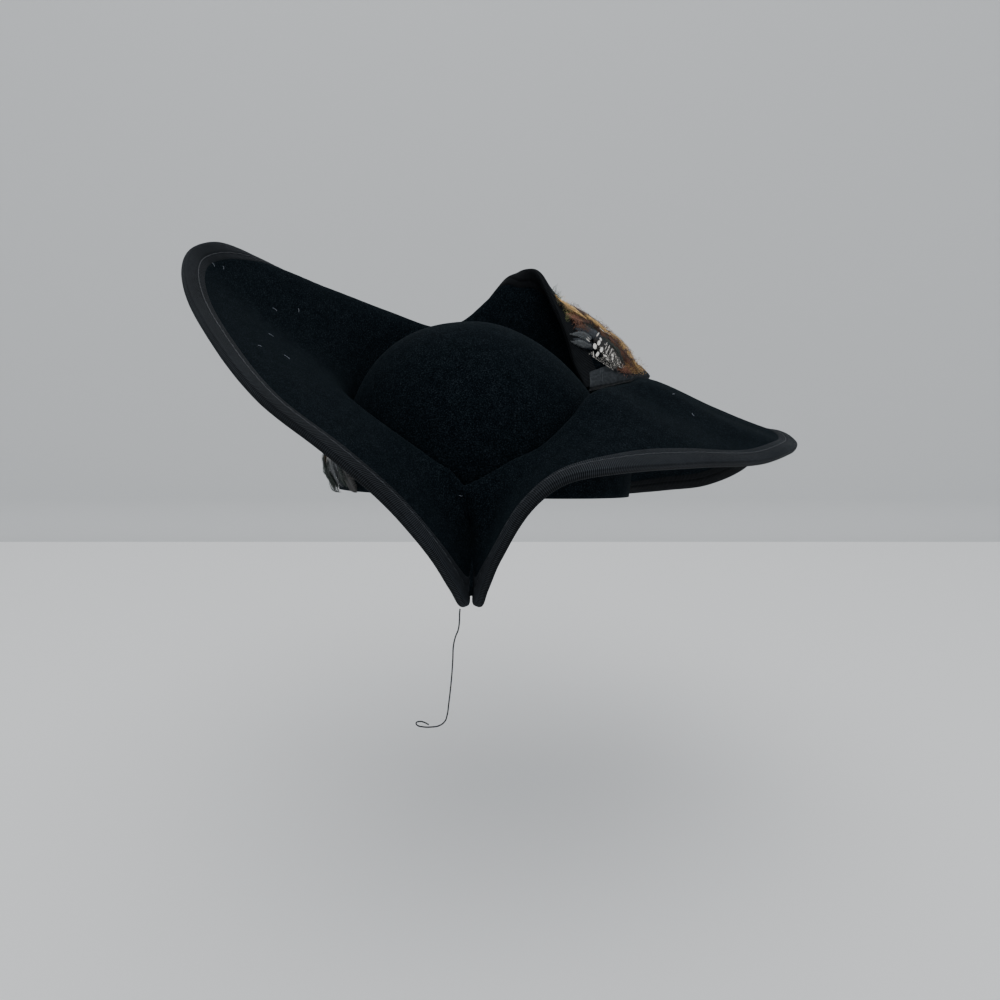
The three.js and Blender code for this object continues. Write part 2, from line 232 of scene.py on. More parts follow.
def ramp(tree, source, stops):
    node = tree.nodes.new("ShaderNodeValToRGB")
    elements = node.color_ramp.elements
    while len(elements) < len(stops):
        elements.new(0.5)
    for element, (place, colour) in zip(elements, stops):
        element.position = place
        element.color = (*colour, 1)
    connect(tree, node, {"Fac": source})
    return node.outputs["Color"]


def bump(tree, source, strength, distance, before=None):
    inputs = {"Height": source, "Strength": strength, "Distance": distance}
    if before is not None:
        inputs["Normal"] = before
    return add_node(tree, "Bump", inputs)["Normal"]


def calculate(tree, operation, *values):
    return add_node(tree, "Math", dict(enumerate(values)), operation=operation)["Value"]


def blend(tree, first, second, share):
    """A share of the first value and the rest of the second."""
    return calculate(tree, "ADD", calculate(tree, "MULTIPLY", first, share),
                     calculate(tree, "MULTIPLY", second, 1 - share))


def waves(tree, name, pitch, depth):
    """Sine waves along an attribute."""
    angle = calculate(tree, "MULTIPLY", attribute(tree, name), 2 * math.pi / pitch)
    return calculate(tree, "MULTIPLY", calculate(tree, "SINE", angle), depth)


def multiply_colour(tree, first, second):
    inputs = {"Factor": 1, "A": first, "B": second}
    return add_node(tree, "Mix", inputs, data_type="RGBA", blend_type="MULTIPLY")["Result"]


def felt_material():
    material, tree, shader = new_material("wool_felt")
    blotches = noise(tree, scale=160, detail=5, roughness=0.7)
    specks = noise(tree, scale=1500, detail=2)
    normal = bump(tree, noise(tree, scale=260), strength=0.2, distance=0.0005)
    connect(tree, shader, {
        "Base Color": ramp(tree, blend(tree, blotches, specks, share=0.2), FELT_TONES),
        "Roughness": 0.95,
        "Specular IOR Level": 0.03,
        "Sheen Weight": 0.012,
        "Sheen Roughness": 0.45,
        "Sheen Tint": (0.55, 0.84, 1.0, 1),
        "Normal": bump(tree, noise(tree, scale=1400, detail=2), 0.5, 0.00035, normal),
    })
    return material


def ribbon_material(name, dark, middle, light, grain, rib_share):
    """Ribbed cloth. The attributes run and across are millimetres along and across the ribbon, and
    the third is a factor on its colour: painted light and shade, with some uneven wear."""
    material, tree, shader = new_material(name)
    rib = calculate(tree, "ADD", waves(tree, "run", RIB_PITCH, 0.5), 0.5)
    rib = calculate(tree, "POWER", rib, RIB_SHARPNESS)
    cloth = calculate(tree, "ADD", rib, waves(tree, "across", THREAD_PITCH, THREAD_DEPTH))
    tone = noise(tree, grain)
    stops = [(0.2, dark), (0.5, middle), (0.8, light)]
    colour = ramp(tree, blend(tree, cloth, tone, rib_share), stops)
    normal = bump(tree, cloth, strength=0.8, distance=0.00028)
    connect(tree, shader, {
        "Base Color": multiply_colour(tree, colour, attribute(tree, "shade_and_wear", "Color")),
        "Roughness": 0.66,
        "Specular IOR Level": 0.07,
        "Sheen Weight": 0.02,
        "Sheen Roughness": 0.4,
        "Sheen Tint": (0.8, 0.88, 1.0, 1),
        "Normal": bump(tree, tone, 0.25, 0.0003, normal),
    })
    return material


def thread_material(name, colour, sheen):
    material, tree, shader = new_material(name)
    grain = noise(tree, scale=1600, detail=2)
    dark = tuple(c * 0.45 for c in colour)
    connect(tree, shader, {
        "Base Color": ramp(tree, grain, [(0.35, dark), (0.65, colour)]),
        "Roughness": 0.7,
        "Sheen Weight": sheen,
        "Normal": bump(tree, grain, strength=0.6, distance=0.0002),
    })
    return material


def feather_material():
    """Feathers take their colour from the attribute tint."""
    material, tree, shader = new_material("plume")
    shade = ramp(tree, noise(tree, scale=700, roughness=0.65), PLUME_TONES)
    connect(tree, shader, {
        "Base Color": multiply_colour(tree, attribute(tree, "tint", "Color"), shade),
        "Roughness": 0.62,
        "Sheen Weight": 0.25,
        "Sheen Roughness": 0.5,
    })
    return material


FELT_CLOTH = felt_material()
GROSGRAIN = ribbon_material(
    "grosgrain", dark=(0.0005, 0.0007, 0.0011), middle=(0.006, 0.0077, 0.0097),
    light=(0.031, 0.0355, 0.041), grain=240, rib_share=0.7)
# A paler copy of the grosgrain, for the hem ribbon
PALE_GROSGRAIN = ribbon_material(
    "pale_grosgrain", dark=(0.014, 0.016, 0.018), middle=(0.033, 0.037, 0.041),
    light=(0.072, 0.078, 0.083), grain=420, rib_share=0.3)
STITCH = thread_material("stitch_thread", (0.058, 0.064, 0.073), 0.05)
CORD_THREAD = thread_material("cord_thread", (0.018, 0.019, 0.021), 0.1)
LINT = thread_material("lint_fibre", (0.3, 0.34, 0.4), 0.3)
PLUME = feather_material()


# Pieces

def add_piece(name, data, material, replaces):
    """Put a curve or mesh on the hat, in place of a CAD node if one is named."""
    data.materials.append(material)
    piece = link(bpy.data.objects.new(name, data))
    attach(piece, BODY)
    if replaces:
        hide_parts(replaces)
    return piece


def smooth_mesh(name, points, faces):
    mesh = bpy.data.meshes.new(name)
    mesh.from_pydata(points, [], faces)
    mesh.polygons.foreach_set("use_smooth", [True] * len(mesh.polygons))
    return mesh


def mesh_piece(name, points, faces, material, replaces, layers=None):
    """A piece from points in millimetres, with values or colours for its points as layers."""
    mesh = smooth_mesh(name, (np.asarray(points) * MM).tolist(), faces)
    for key, values in (layers or {}).items():
        if values.ndim == 1:
            layer = mesh.attributes.new(key, "FLOAT", "POINT")
            layer.data.foreach_set("value", values)
        else:
            layer = mesh.color_attributes.new(key, "FLOAT_COLOR", "POINT")
            layer.data.foreach_set("color", np.insert(values, 3, 1, axis=1).ravel())
    mesh.update()
    add_piece(name, mesh, material, replaces)


def make_cord():
    data = bpy.data.curves.new("cord_thread", "CURVE")
    data.dimensions = "3D"
    data.bevel_depth = CORD_DIAMETER / 2 * MM
    data.bevel_resolution = 4
    data.resolution_u = 8
    data.use_fill_caps = True
    spline = data.splines.new("BEZIER")
    spline.bezier_points.add(len(CORD_ROUTE) - 1)
    for point, place in zip(spline.bezier_points, CORD_ROUTE):
        point.co = [value * MM for value in place]
        point.handle_left_type = point.handle_right_type = "AUTO"
    piece = add_piece("cord_thread", data, CORD_THREAD, "cord")


make_cord()


# Brim surface

def rim_height(turn):
    angle = np.radians(turn)
    return (RIM_SIDE_SLOPE * OPENING_HALF_WIDTH * np.sin(angle)
            + RIM_FRONT_SLOPE * OPENING_HALF_LENGTH * np.cos(angle))


def crown_point(turn, height, out):
    angle = np.radians(turn)
    share = np.clip(np.asarray(height, float), 0, CROWN_HEIGHT) / CROWN_HEIGHT
    power = CROWN_SQUARENESS - CROWN_BACK_EASE * np.maximum(np.cos(angle), 0)
    scale = (1 - share ** power) ** (1 / power)
    return np.stack([
        CROWN_LEAN * share ** 2 + (OPENING_HALF_LENGTH * scale + out) * np.cos(angle),
        (OPENING_HALF_WIDTH * scale + out) * np.sin(angle),
        np.broadcast_to(height, np.shape(scale)).astype(float),
    ], axis=-1)


def section_guides():
    rows = []
    for turn, out, z, sx, sy, sz, ex, ey, ez in BRIM_SECTIONS:
        rim = rim_height(turn)
        rows.append([
            crown_point(turn, rim, BRIM_CLEARANCE),
            crown_point(turn, (rim + z) / 2, BRIM_CLEARANCE + WAIST_SHARE * out),
            crown_point(turn, z, out),
            np.array([sx, sy, sz], float),
            np.array([ex, ey, ez], float),
        ])
    return np.array(rows)


GUIDES = section_guides()
ROW_TURNS = np.array([row[0] for row in BRIM_SECTIONS], float)
ROW_KNOTS = np.concatenate([
    [0], np.cumsum(np.sqrt(np.linalg.norm(np.diff(GUIDES[:, -1], axis=0), axis=1))),
])
BEFORE = np.maximum(np.arange(len(GUIDES)) - 1, 0)
AFTER = np.minimum(np.arange(len(GUIDES)) + 1, len(GUIDES) - 1)
GUIDE_SLOPES = (GUIDES[AFTER] - GUIDES[BEFORE]) / (ROW_KNOTS[AFTER] - ROW_KNOTS[BEFORE])[:, None, None]


def blended_guides(places):
    """Guide points at places along the rows, where 2.5 is halfway from row 2 to row 3."""
    row = np.clip(np.floor(places).astype(int), 0, len(GUIDES) - 2)
    share = (places - row)[:, None, None]
    span = (ROW_KNOTS[row + 1] - ROW_KNOTS[row])[:, None, None]
    squared, cubed = share ** 2, share ** 3
    return (GUIDES[row] * (2 * cubed - 3 * squared + 1)
            + GUIDE_SLOPES[row] * (cubed - 2 * squared + share) * span
            + GUIDES[row + 1] * (3 * squared - 2 * cubed)
            + GUIDE_SLOPES[row + 1] * (cubed - squared) * span)


def centripetal(points, divisions):
    """Centripetal curve through each row's guide points, sampled evenly in its own parameter."""
    count = points.shape[1]
    first = 2 * points[:, :1] - points[:, 1:2]
    final = 2 * points[:, -1:] - points[:, -2:-1]
    full = np.concatenate([first, points, final], axis=1)
    steps = np.sqrt(np.linalg.norm(np.diff(full, axis=1), axis=2))
    samples = []
    for k in range(divisions + 1):
        place = k / divisions * (count - 1)
        part = min(int(place), count - 2)
        t = place - part
        p0, p1, p2, p3 = (full[:, part + n] for n in range(4))
        d0, d1, d2 = (steps[:, part + n][:, None] for n in range(3))
        t1 = ((p1 - p0) / d0 - (p2 - p0) / (d0 + d1) + (p2 - p1) / d1) * d1
        t2 = ((p2 - p1) / d1 - (p3 - p1) / (d1 + d2) + (p3 - p2) / d2) * d1
        c2 = -3 * p1 + 3 * p2 - 2 * t1 - t2
        c3 = 2 * p1 - 2 * p2 + t1 + t2
        samples.append(p1 + t1 * t + c2 * t * t + c3 * t ** 3)
    return np.stack(samples, axis=1)


# The V's fold: its place, how much deeper it is than the rows say, its share of that depth at some
# rings, over how many places it spreads, how far its tips are let down, and the notch between them
VALLEY_PLACE = 16.0
TIP_PLACES = (15, 17)
VALLEY_DEPTH = 7.5
VALLEY_RINGS = [1.5, 4.5, 7.5, EDGE_RING]
VALLEY_SHARES = [0, 1, 0.85, 0.2]
VALLEY_SPREAD = 1.4
TIP_TOP_RING = 7
TIP_RINGS = EDGE_RING - TIP_TOP_RING
TIP_DROP = 2.3
NOTCH_HALF = 0.27
NOTCH_RISE = 4.2
# Millimetres that the brim's felt runs into the crown's wall
FELT_JOIN = 2.0


def shape_valley(points, places, rings):
    """Deepen the fold of the V and square off its two tips."""
    off = np.abs(places - VALLEY_PLACE)[:, None]
    depth = np.interp(rings, VALLEY_RINGS, VALLEY_SHARES)
    points[:, :, 1] += VALLEY_DEPTH * np.exp(-(off / VALLEY_SPREAD) ** 2) * depth
    inner = np.clip(1 - off, 0, 1)
    drop = TIP_DROP * inner ** 2 * (3 - 2 * inner)
    points[:, :, 2] -= drop * np.clip((rings - TIP_TOP_RING) / TIP_RINGS, 0, 1) ** 2
    return points


def brim_points(places, rings):
    """Points of the brim's middle surface, by place along the rows and ring from the head opening."""
    places = np.asarray(places, float)
    rings = np.asarray(rings, float)
    line = centripetal(blended_guides(places), CURVE_DIVISIONS)
    lengths = runs_across(line)
    whole = lengths[:, -1]
    plain = whole - BINDING_WIDTH
    shoulder = np.minimum(lengths[:, CURVE_DIVISIONS * 3 // 4], SHOULDER_LIMIT * plain)
    ruler = [0, SHOULDER_RING, BORDER_RING, EDGE_RING]
    points = np.stack([
        resample(np.interp(rings, ruler, [0, *marks]), run, row)
        for run, row, *marks in zip(lengths, line, shoulder, plain, whole)
    ])
    return shape_valley(points, places, rings)


LAST_PLACE = len(BRIM_SECTIONS) - 1.0
FINE_PLACES = 4001


def grid_normals(points):
    """Unit normals of a grid, on the brim's upper side."""
    along = np.gradient(points, axis=0)
    across = np.gradient(points, axis=1)
    return unit(np.cross(along, across))


def even_places(first, last, step):
    """Places along the rows whose edge points lie about one step apart."""
    fine = np.linspace(first, last, FINE_PLACES)
    run = run_along(blended_guides(fine)[:, -1])
    count = max(2, int(round(run[-1] / step)) + 1)
    return np.interp(np.linspace(0, run[-1], count), run, fine)


def place_of_turn(turn):
    return float(np.interp(-turn, -ROW_TURNS, np.arange(len(ROW_TURNS))))


# Rows and rings of a chart's first grid, and the millimetres between points of its even one
CHART_ROWS = 240
CHART_RINGS = 161
CHART_STEP = 1.0


def make_chart(first_turn, last_turn, low_ring, high_ring, middle_ring):
    """A patch of the brim's outer face laid out in millimetres: s along the rows, r across them."""
    places = np.linspace(place_of_turn(first_turn), place_of_turn(last_turn), CHART_ROWS)
    rings = np.linspace(low_ring, high_ring, CHART_RINGS)
    points = brim_points(places, rings)
    normals = -grid_normals(points)
    middle = int(np.argmin(np.abs(rings - middle_ring)))
    s = run_along(points[:, middle])
    r = runs_across(points)
    r -= r[:, middle:middle + 1]
    even_r = np.arange(r[:, 0].min(), r[:, -1].max() + CHART_STEP, CHART_STEP)
    even_s = np.arange(0, s[-1], CHART_STEP)
    grids = []
    for field in (points + normals * HALF_FELT, normals):
        rows = np.stack([resample(even_r, *row) for row in zip(r, field)])
        grids.append(np.stack([resample(even_s, s, rows[:, k]) for k in range(len(even_r))], axis=1))
    return {"points": grids[0], "normals": grids[1], "r0": even_r[0]}


def on_chart(chart, s, r, lift):
    """Points at s and r on a chart, lift above the felt."""
    grid, normals = chart["points"], chart["normals"]
    a = np.clip(np.asarray(s, float) / CHART_STEP, 0, grid.shape[0] - 1.001)
    b = np.clip((np.asarray(r, float) - chart["r0"]) / CHART_STEP, 0, grid.shape[1] - 1.001)
    i, j = a.astype(int), b.astype(int)
    u, v = (a - i)[..., None], (b - j)[..., None]

    def mixed(field):
        near = field[i, j] * (1 - v) + field[i, j + 1] * v
        far = field[i + 1, j] * (1 - v) + field[i + 1, j + 1] * v
        return near * (1 - u) + far * u

    return mixed(grid) + mixed(normals) * np.asarray(lift, float)[..., None]


# Meshes of felt and ribbon

def grid_faces(rows, columns, wrap=False, flip=False):
    faces = []
    span = columns if wrap else columns - 1
    for i in range(rows - 1):
        for j in range(span):
            a = i * columns + j
            b = i * columns + (j + 1) % columns
            c, d = b + columns, a + columns
            faces.append((a, b, c, d) if flip else (a, d, c, b))
    return faces


def capped_faces(rows, columns, wrap=False):
    """Faces of a grid with its first and its last row closed."""
    ends = [tuple(range(columns)), tuple(range(rows * columns - 1, (rows - 1) * columns - 1, -1))]
    return grid_faces(rows, columns, wrap) + ends


BRIM_STEP = 2.6
BRIM_RINGS = 41
BINDING_RINGS = 6
# Rows close together round the V's notch: how far they reach, in places, and their number
CLOSE_REACH = 1.4
CLOSE_ROWS = 12
NOTCH_ROWS = 5


def make_brim():
    slope = np.linspace(-CLOSE_REACH, -NOTCH_HALF, CLOSE_ROWS)
    floor = np.linspace(-NOTCH_HALF + 0.02, NOTCH_HALF - 0.02, NOTCH_ROWS)
    close = VALLEY_PLACE + np.concatenate([slope, floor, -slope[::-1]])
    places = even_places(0, LAST_PLACE, BRIM_STEP)
    away = np.abs(places - VALLEY_PLACE) > CLOSE_REACH + 0.05
    places = np.sort(np.concatenate([places[away], close]))
    rings = np.concatenate([
        np.linspace(0, BORDER_RING, BRIM_RINGS),
        np.linspace(BORDER_RING, EDGE_RING, BINDING_RINGS)[1:],
    ])
    middle = brim_points(places, rings)
    normals = grid_normals(middle)
    notch = (np.abs(places - VALLEY_PLACE) < NOTCH_HALF - 0.01)[:, None]
    middle[:, :, 2] += notch * NOTCH_RISE * np.clip((rings - TIP_TOP_RING) / TIP_RINGS, 0, 1)
    # The felt runs on into the crown's wall, so nothing shows through where the two meet
    root = middle[:, :1].copy()
    root[:, :, :2] *= 1 - FELT_JOIN / np.linalg.norm(root[:, :, :2], axis=2, keepdims=True)
    middle = np.concatenate([root, middle], axis=1)
    normals = np.concatenate([normals[:, :1], normals], axis=1)
    rows, columns = middle.shape[:2]
    top = middle + normals * HALF_FELT
    under = middle - normals * HALF_FELT
    # One closed loop across each row: up the top face and back along the under face
    loop = np.concatenate([top, under[:, ::-1]], axis=1)
    faces = grid_faces(rows, 2 * columns, wrap=True)
    # The two ends of the sheet are closed by strips between its faces
    for row, turned in ((0, False), (rows - 1, True)):
        base = row * 2 * columns
        for j in range(columns - 1):
            quad = (base + j, base + j + 1, base + 2 * columns - 2 - j, base + 2 * columns - 1 - j)
            faces.append(quad[::-1] if turned else quad)
    mesh_piece("brim_felt", loop.reshape(-1, 3), faces, FELT_CLOTH, "brim")


CROWN_SIDES = 144
CROWN_STEPS = 44


def crown_shell(inset):
    """Rings of points from the rim to just below the top, inset from the outer face."""
    turns = np.arange(CROWN_SIDES) * 360 / CROWN_SIDES
    rim = rim_height(turns)
    rings = []
    for step in range(CROWN_STEPS):
        rise = math.sin(step / CROWN_STEPS * math.pi / 2) ** (2 / CROWN_SQUARENESS)
        ring = crown_point(turns, rim + (CROWN_HEIGHT - rim) * rise, 0)
        middle = CROWN_LEAN * rise ** 2
        ring[:, 0] = middle + (ring[:, 0] - middle) * (1 - inset / OPENING_HALF_LENGTH)
        ring[:, 1] *= 1 - inset / OPENING_HALF_WIDTH
        ring[:, 2] -= inset * rise
        rings.append(ring)
    return rings


def make_crown():
    tops = [[[CROWN_LEAN, 0, CROWN_HEIGHT - FELT]], [[CROWN_LEAN, 0, CROWN_HEIGHT]]]
    points = np.concatenate(crown_shell(FELT)[::-1] + crown_shell(0) + tops)
    faces = grid_faces(2 * CROWN_STEPS, CROWN_SIDES, wrap=True, flip=True)
    low = 2 * CROWN_STEPS * CROWN_SIDES
    final = low - CROWN_SIDES
    for k in range(CROWN_SIDES):
        n = (k + 1) % CROWN_SIDES
        faces.append((n, k, low))
        faces.append((final + k, final + n, low + 1))
    mesh_piece("crown_felt", points, faces, FELT_CLOTH, "crown")


# Profile of the binding across one face, from its border to the edge: distance from the edge and
# height over the felt, in millimetres. A groove for the stitches lies between its two strips.
BINDING_PROFILE = [
    [12.3, -0.05],
    [11.9, 0.28],
    [11.4, 0.42],
    [10.8, 0.48],
    [9.8, 0.6],
    [8.8, 0.68],
    [8.2, 0.56],
    [7.8, 0.56],
    [7.4, 0.84],
    [6.8, 1.22],
    [5.6, 1.3],
    [4.2, 1.32],
    [2.8, 1.3],
    [1.5, 1.22],
    [0.5, 1.05],
]
RIBBON_REACH = np.array([row[0] for row in BINDING_PROFILE])
RIBBON_HEIGHTS = np.array([row[1] for row in BINDING_PROFILE])
BINDING_STEP = 0.8
# The ribbon's turn round the edge: how far out it goes, the angles of its columns in degrees, and
# how the two faces share it
EDGE_OUT = 0.9
RIBBON_TIPS = (60, 30, 0, -30, -60)
TIP_SPREADS = np.linspace(0.4, -0.4, len(RIBBON_TIPS))
TIP_SHARES = np.linspace(0.9, 0.1, len(RIBBON_TIPS))
# Extra width of the ribbon beside the V, as a share, and how far it spreads in places
V_WIDENING = 0.2
V_WIDENING_SPREAD = 2.2
# Painted shade on the ribbon's upper face at some places: it is darker towards the far side behind the
# crown, which is in shade
SHADE_PLACES = [18, 22, 27, 31]
SHADE_FADES = [1, 0.8, 0.72, 0.3]
# Millimetres to a ring just inside the binding, beside the V, and rings of the fine grid there
INNER_RING_WIDTH = 9.0
FINE_RINGS = 140
# Hem ribbon: rows, width in places at the flap's end, rings where it starts at its outer and its
# inner border, ring where it stops, its rise over the side ribbon, and its painted light and shade
# along its length
HEM_ROWS = 190
HEM_WIDTH_PLACES = 0.5
HEM_START_RING = 8.86
HEM_INNER_START_RING = 8.45
HEM_LOWEST_RING = 1.0
HEM_RISE = 0.95
HEM_RISE_RINGS = 0.25
HEM_SHADES = ([0, 0.35, 1], [1.15, 0.8, 0.4])
# Stitches between the binding's strips: distance from the edge, step along it, and last place
SEAM_INSET = 7.9
STITCH_STEP = 0.9
STITCH_END = 29.0


def folded_ribbon(name, node, material, points, normals, run, heights, upper_shade_and_wear, under_shade):
    """Ribbon folded over an edge: columns of points run from its border to the edge of the felt."""
    rows = len(points)
    outward = unit(points[:, -1] - points[:, -2])
    rise = (HALF_FELT + heights)[..., None]
    upper = points[:, :-1] + normals[:, :-1] * rise
    under = points[:, :-1] - normals[:, :-1] * rise
    tips = []
    for angle in RIBBON_TIPS:
        up = math.sin(math.radians(angle)) * (HALF_FELT + heights[:, -1:])
        out = math.cos(math.radians(angle)) * EDGE_OUT
        tips.append(points[:, -1] + normals[:, -1] * up + outward * out)
    loop = np.concatenate([upper, np.stack(tips, axis=1), under[:, ::-1]], axis=1)
    columns = loop.shape[1]
    spread = np.concatenate([RIBBON_REACH, TIP_SPREADS, -RIBBON_REACH[::-1]])
    share = np.concatenate([np.ones_like(RIBBON_REACH), TIP_SHARES, np.zeros_like(RIBBON_REACH)])
    # Painted shade: the colour factor passes from the upper face's to the under face's across the
    # turn, so the under face is painted darker
    shade_and_wear = upper_shade_and_wear[:, None] * share + under_shade[:, None] * (1 - share)
    layers = {
        "run": np.repeat(run, columns),
        "across": np.tile(spread, rows),
        "shade_and_wear": shade_and_wear.reshape(-1),
    }
    faces = capped_faces(rows, columns)
    mesh_piece(name, loop.reshape(-1, 3), faces, material, node, layers)


def ribbon_rings(places):
    """Rings of the ribbon's columns at each place: it is wider beside the V."""
    widening = 1 + V_WIDENING * np.exp(-((places - VALLEY_PLACE) / V_WIDENING_SPREAD) ** 2)
    reach = RIBBON_REACH * widening[:, None]
    beyond = np.maximum(reach - BINDING_WIDTH, 0)
    inner = np.minimum(reach, BINDING_WIDTH)
    rings = EDGE_RING - inner / BINDING_WIDTH - beyond / INNER_RING_WIDTH
    return np.concatenate([rings, np.full((len(places), 1), EDGE_RING)], axis=1)


def points_at(places, rings):
    """Brim points where each place has its own rings."""
    fine = np.linspace(rings.min() - 0.02, EDGE_RING, FINE_RINGS)
    grid = brim_points(places, fine)
    at = (rings - fine[0]) / (fine[1] - fine[0])
    low = np.clip(np.floor(at + 1e-9).astype(int), 0, len(fine) - 2)
    share = (at - low)[..., None]
    row = np.arange(len(places))[:, None]
    return grid[row, low] * (1 - share) + grid[row, low + 1] * share


def make_binding(name, node, first, last, under_shade):
    """Ribbon folded over the brim's edge. It wavers a little and is unevenly worn, and its faces carry
    painted shade.
    """
    places = even_places(first, last, BINDING_STEP)
    points = points_at(places, ribbon_rings(places))
    run = run_along(points[:, -1])
    waver = 0.03 * np.sin(run / 7.0) + 0.02 * np.sin(run / 2.9 + 1.0)
    heights = RIBBON_HEIGHTS[None, :] + waver[:, None] * (RIBBON_HEIGHTS > 0.3)
    # Painted shade: the upper face darkens towards the far side, where the brim is in shade; the waves
    # on it are uneven wear
    upper = np.interp(places, SHADE_PLACES, SHADE_FADES)
    upper *= 1 + 0.12 * np.sin(run / 23.0) + 0.08 * np.sin(run / 9.1 + 2.0)
    folded_ribbon(name, node, GROSGRAIN, points, grid_normals(points), run, heights,
                  upper, np.full(len(places), under_shade))


def make_hem():
    """Ribbon over the lower edge of the flap, laid over the end of the edge binding."""
    steps = np.linspace(0, 1, HEM_ROWS)
    inward = np.append(RIBBON_REACH, 0) / BINDING_WIDTH
    starts = HEM_START_RING + (HEM_INNER_START_RING - HEM_START_RING) * inward
    columns = []
    for share, start in zip(inward, starts):
        place = np.array([LAST_PLACE - HEM_WIDTH_PLACES * share])
        columns.append(brim_points(place, start + (HEM_LOWEST_RING - start) * steps)[0])
    points = np.stack(columns, axis=1)
    run = run_along(points[:, -1])
    rings = HEM_START_RING + (HEM_LOWEST_RING - HEM_START_RING) * steps
    over = HEM_RISE * np.clip((rings - BORDER_RING) / HEM_RISE_RINGS + 1, 0, 1)
    heights = RIBBON_HEIGHTS[None, :] + over[:, None]
    # Painted light and shade: the hem is lighter at its start by the brim's edge and darker towards
    # its end
    shade_and_wear = np.interp(run / run[-1], *HEM_SHADES)
    folded_ribbon("hem_ribbon", "binding_flap", PALE_GROSGRAIN, points, -grid_normals(points), run,
                  heights, shade_and_wear, shade_and_wear)


# A direction that no tube runs along
TUBE_ASIDE = (0.31, 0.22, 0.92)


def tube(points, radius, sides):
    """Vertices and faces of a tube along a polyline, with one radius or one for each point."""
    radius = np.broadcast_to(radius, len(points))
    ahead = unit(np.gradient(points, axis=0))
    side = unit(np.cross(ahead, TUBE_ASIDE))
    other = np.cross(ahead, side)
    angles = (np.arange(sides) * 2 * math.pi / sides)[None, :, None]
    ring = points[:, None] + radius[:, None, None] * (
        side[:, None] * np.cos(angles) + other[:, None] * np.sin(angles))
    return ring.reshape(-1, 3), capped_faces(len(points), sides, wrap=True)


def join(parts):
    """The vertices and the faces of many parts as one list of each."""
    faces = []
    start = 0
    for vertices, polygons, *_ in parts:
        faces += [[v + start for v in face] for face in polygons]
        start += len(vertices)
    return np.concatenate([part[0] for part in parts]), faces


def make_stitch_line(name, first, last):
    """Thread along the seam between the two strips of the binding, on its upper face."""
    places = even_places(first, last, STITCH_STEP)
    seam = EDGE_RING - SEAM_INSET / BINDING_WIDTH
    grid = brim_points(places, [seam - 0.05, seam, seam + 0.05])
    normals = grid_normals(grid)[:, 1]
    run = np.arange(len(places)) * STITCH_STEP
    lift = HALF_FELT + 0.8 + 0.1 * np.sin(run / 1.1) + 0.07 * np.sin(run / 0.47)
    line = grid[:, 1] + normals * lift[:, None]
    points, faces = tube(line, 0.12 + 0.14 * np.abs(np.sin(run / 1.6)), 6)
    mesh_piece(name, points, faces, STITCH, None)


make_brim()
make_crown()
# The under faces get painted shade: their colour is darkened by these factors
make_binding("binding_tail_ribbon", "binding_tail", 0, VALLEY_PLACE - NOTCH_HALF, under_shade=0.42)
make_binding("binding_front_ribbon", "binding_front", VALLEY_PLACE + NOTCH_HALF, LAST_PLACE - 0.02,
             under_shade=0.55)
make_hem()
make_stitch_line("stitch_tail", 0.05, TIP_PLACES[0] - 0.05)
make_stitch_line("stitch_front", TIP_PLACES[1] + 0.05, STITCH_END)


# Feathers

# Linear colours of feather parts, from the shaft to the end of the barbs
PLUMAGE = {
    "gold": ((0.34, 0.17, 0.045), (0.72, 0.47, 0.15)),
    "straw": ((0.55, 0.3, 0.07), (0.92, 0.66, 0.27)),
    "rust": ((0.065, 0.02, 0.008), (0.21, 0.07, 0.024)),
    "brown": ((0.045, 0.017, 0.008), (0.15, 0.06, 0.024)),
    "pink": ((0.22, 0.08, 0.045), (0.44, 0.2, 0.115)),
    "grey": ((0.045, 0.05, 0.054), (0.135, 0.15, 0.16)),
    "slate": ((0.012, 0.016, 0.022), (0.05, 0.062, 0.08)),
    "guinea": ((0.016, 0.015, 0.014), (0.04, 0.037, 0.034)),
    "coque": ((0.008, 0.014, 0.01), (0.02, 0.04, 0.026)),
    "olive": ((0.1, 0.12, 0.03), (0.34, 0.36, 0.1)),
    "white": ((0.62, 0.6, 0.55), (0.86, 0.85, 0.8)),
}
# How a kind of feather grows: millimetres between barbs, their angle from the shaft at its base and
# at its tip in degrees, how far they curl towards the tip, how unruly they are, and the barb width
GROWTH = {
    "vane": (0.34, 58, 16, 26, 0.1, 0.24),
    "soft": (0.42, 66, 22, 38, 0.32, 0.17),
    "plume": (0.5, 74, 26, 52, 0.55, 0.13),
}
# Divisions of a feather's path, and points along a barb and along a loose barb
PATH_DIVISIONS = 80
BARB_POINTS = 6
FLUFF_POINTS = 7


def smooth_path(points, count):
    """A curve through a feather's points as a number of even steps, and its length."""
    line = centripetal(np.array([points], float), PATH_DIVISIONS)[0]
    run = run_along(line)
    at = np.linspace(0, run[-1], count)
    return resample(at, run, line), run[-1]


def barb_strips(chart, s, r, lift, half, tint):
    """Flat tapered strips, one for each row of s, r, lift, half width and tint."""
    count, points = s.shape
    ds, dr = np.gradient(s, axis=1), np.gradient(r, axis=1)
    size = np.maximum(np.hypot(ds, dr), 1e-6)
    ds, dr = ds / size, dr / size
    left = on_chart(chart, s - dr * half, r + ds * half, lift + 0.5 * half)
    right = on_chart(chart, s + dr * half, r - ds * half, lift - 0.5 * half)
    vertices = np.stack([left, right], axis=2).reshape(-1, 3)
    tints = np.repeat(tint.reshape(-1, 3), 2, axis=0)
    first = (np.arange(count)[:, None] * points + np.arange(points - 1)[None, :]) * 2
    faces = np.stack([first, first + 1, first + 3, first + 2], axis=2).reshape(-1, 4)
    return vertices, faces.tolist(), tints


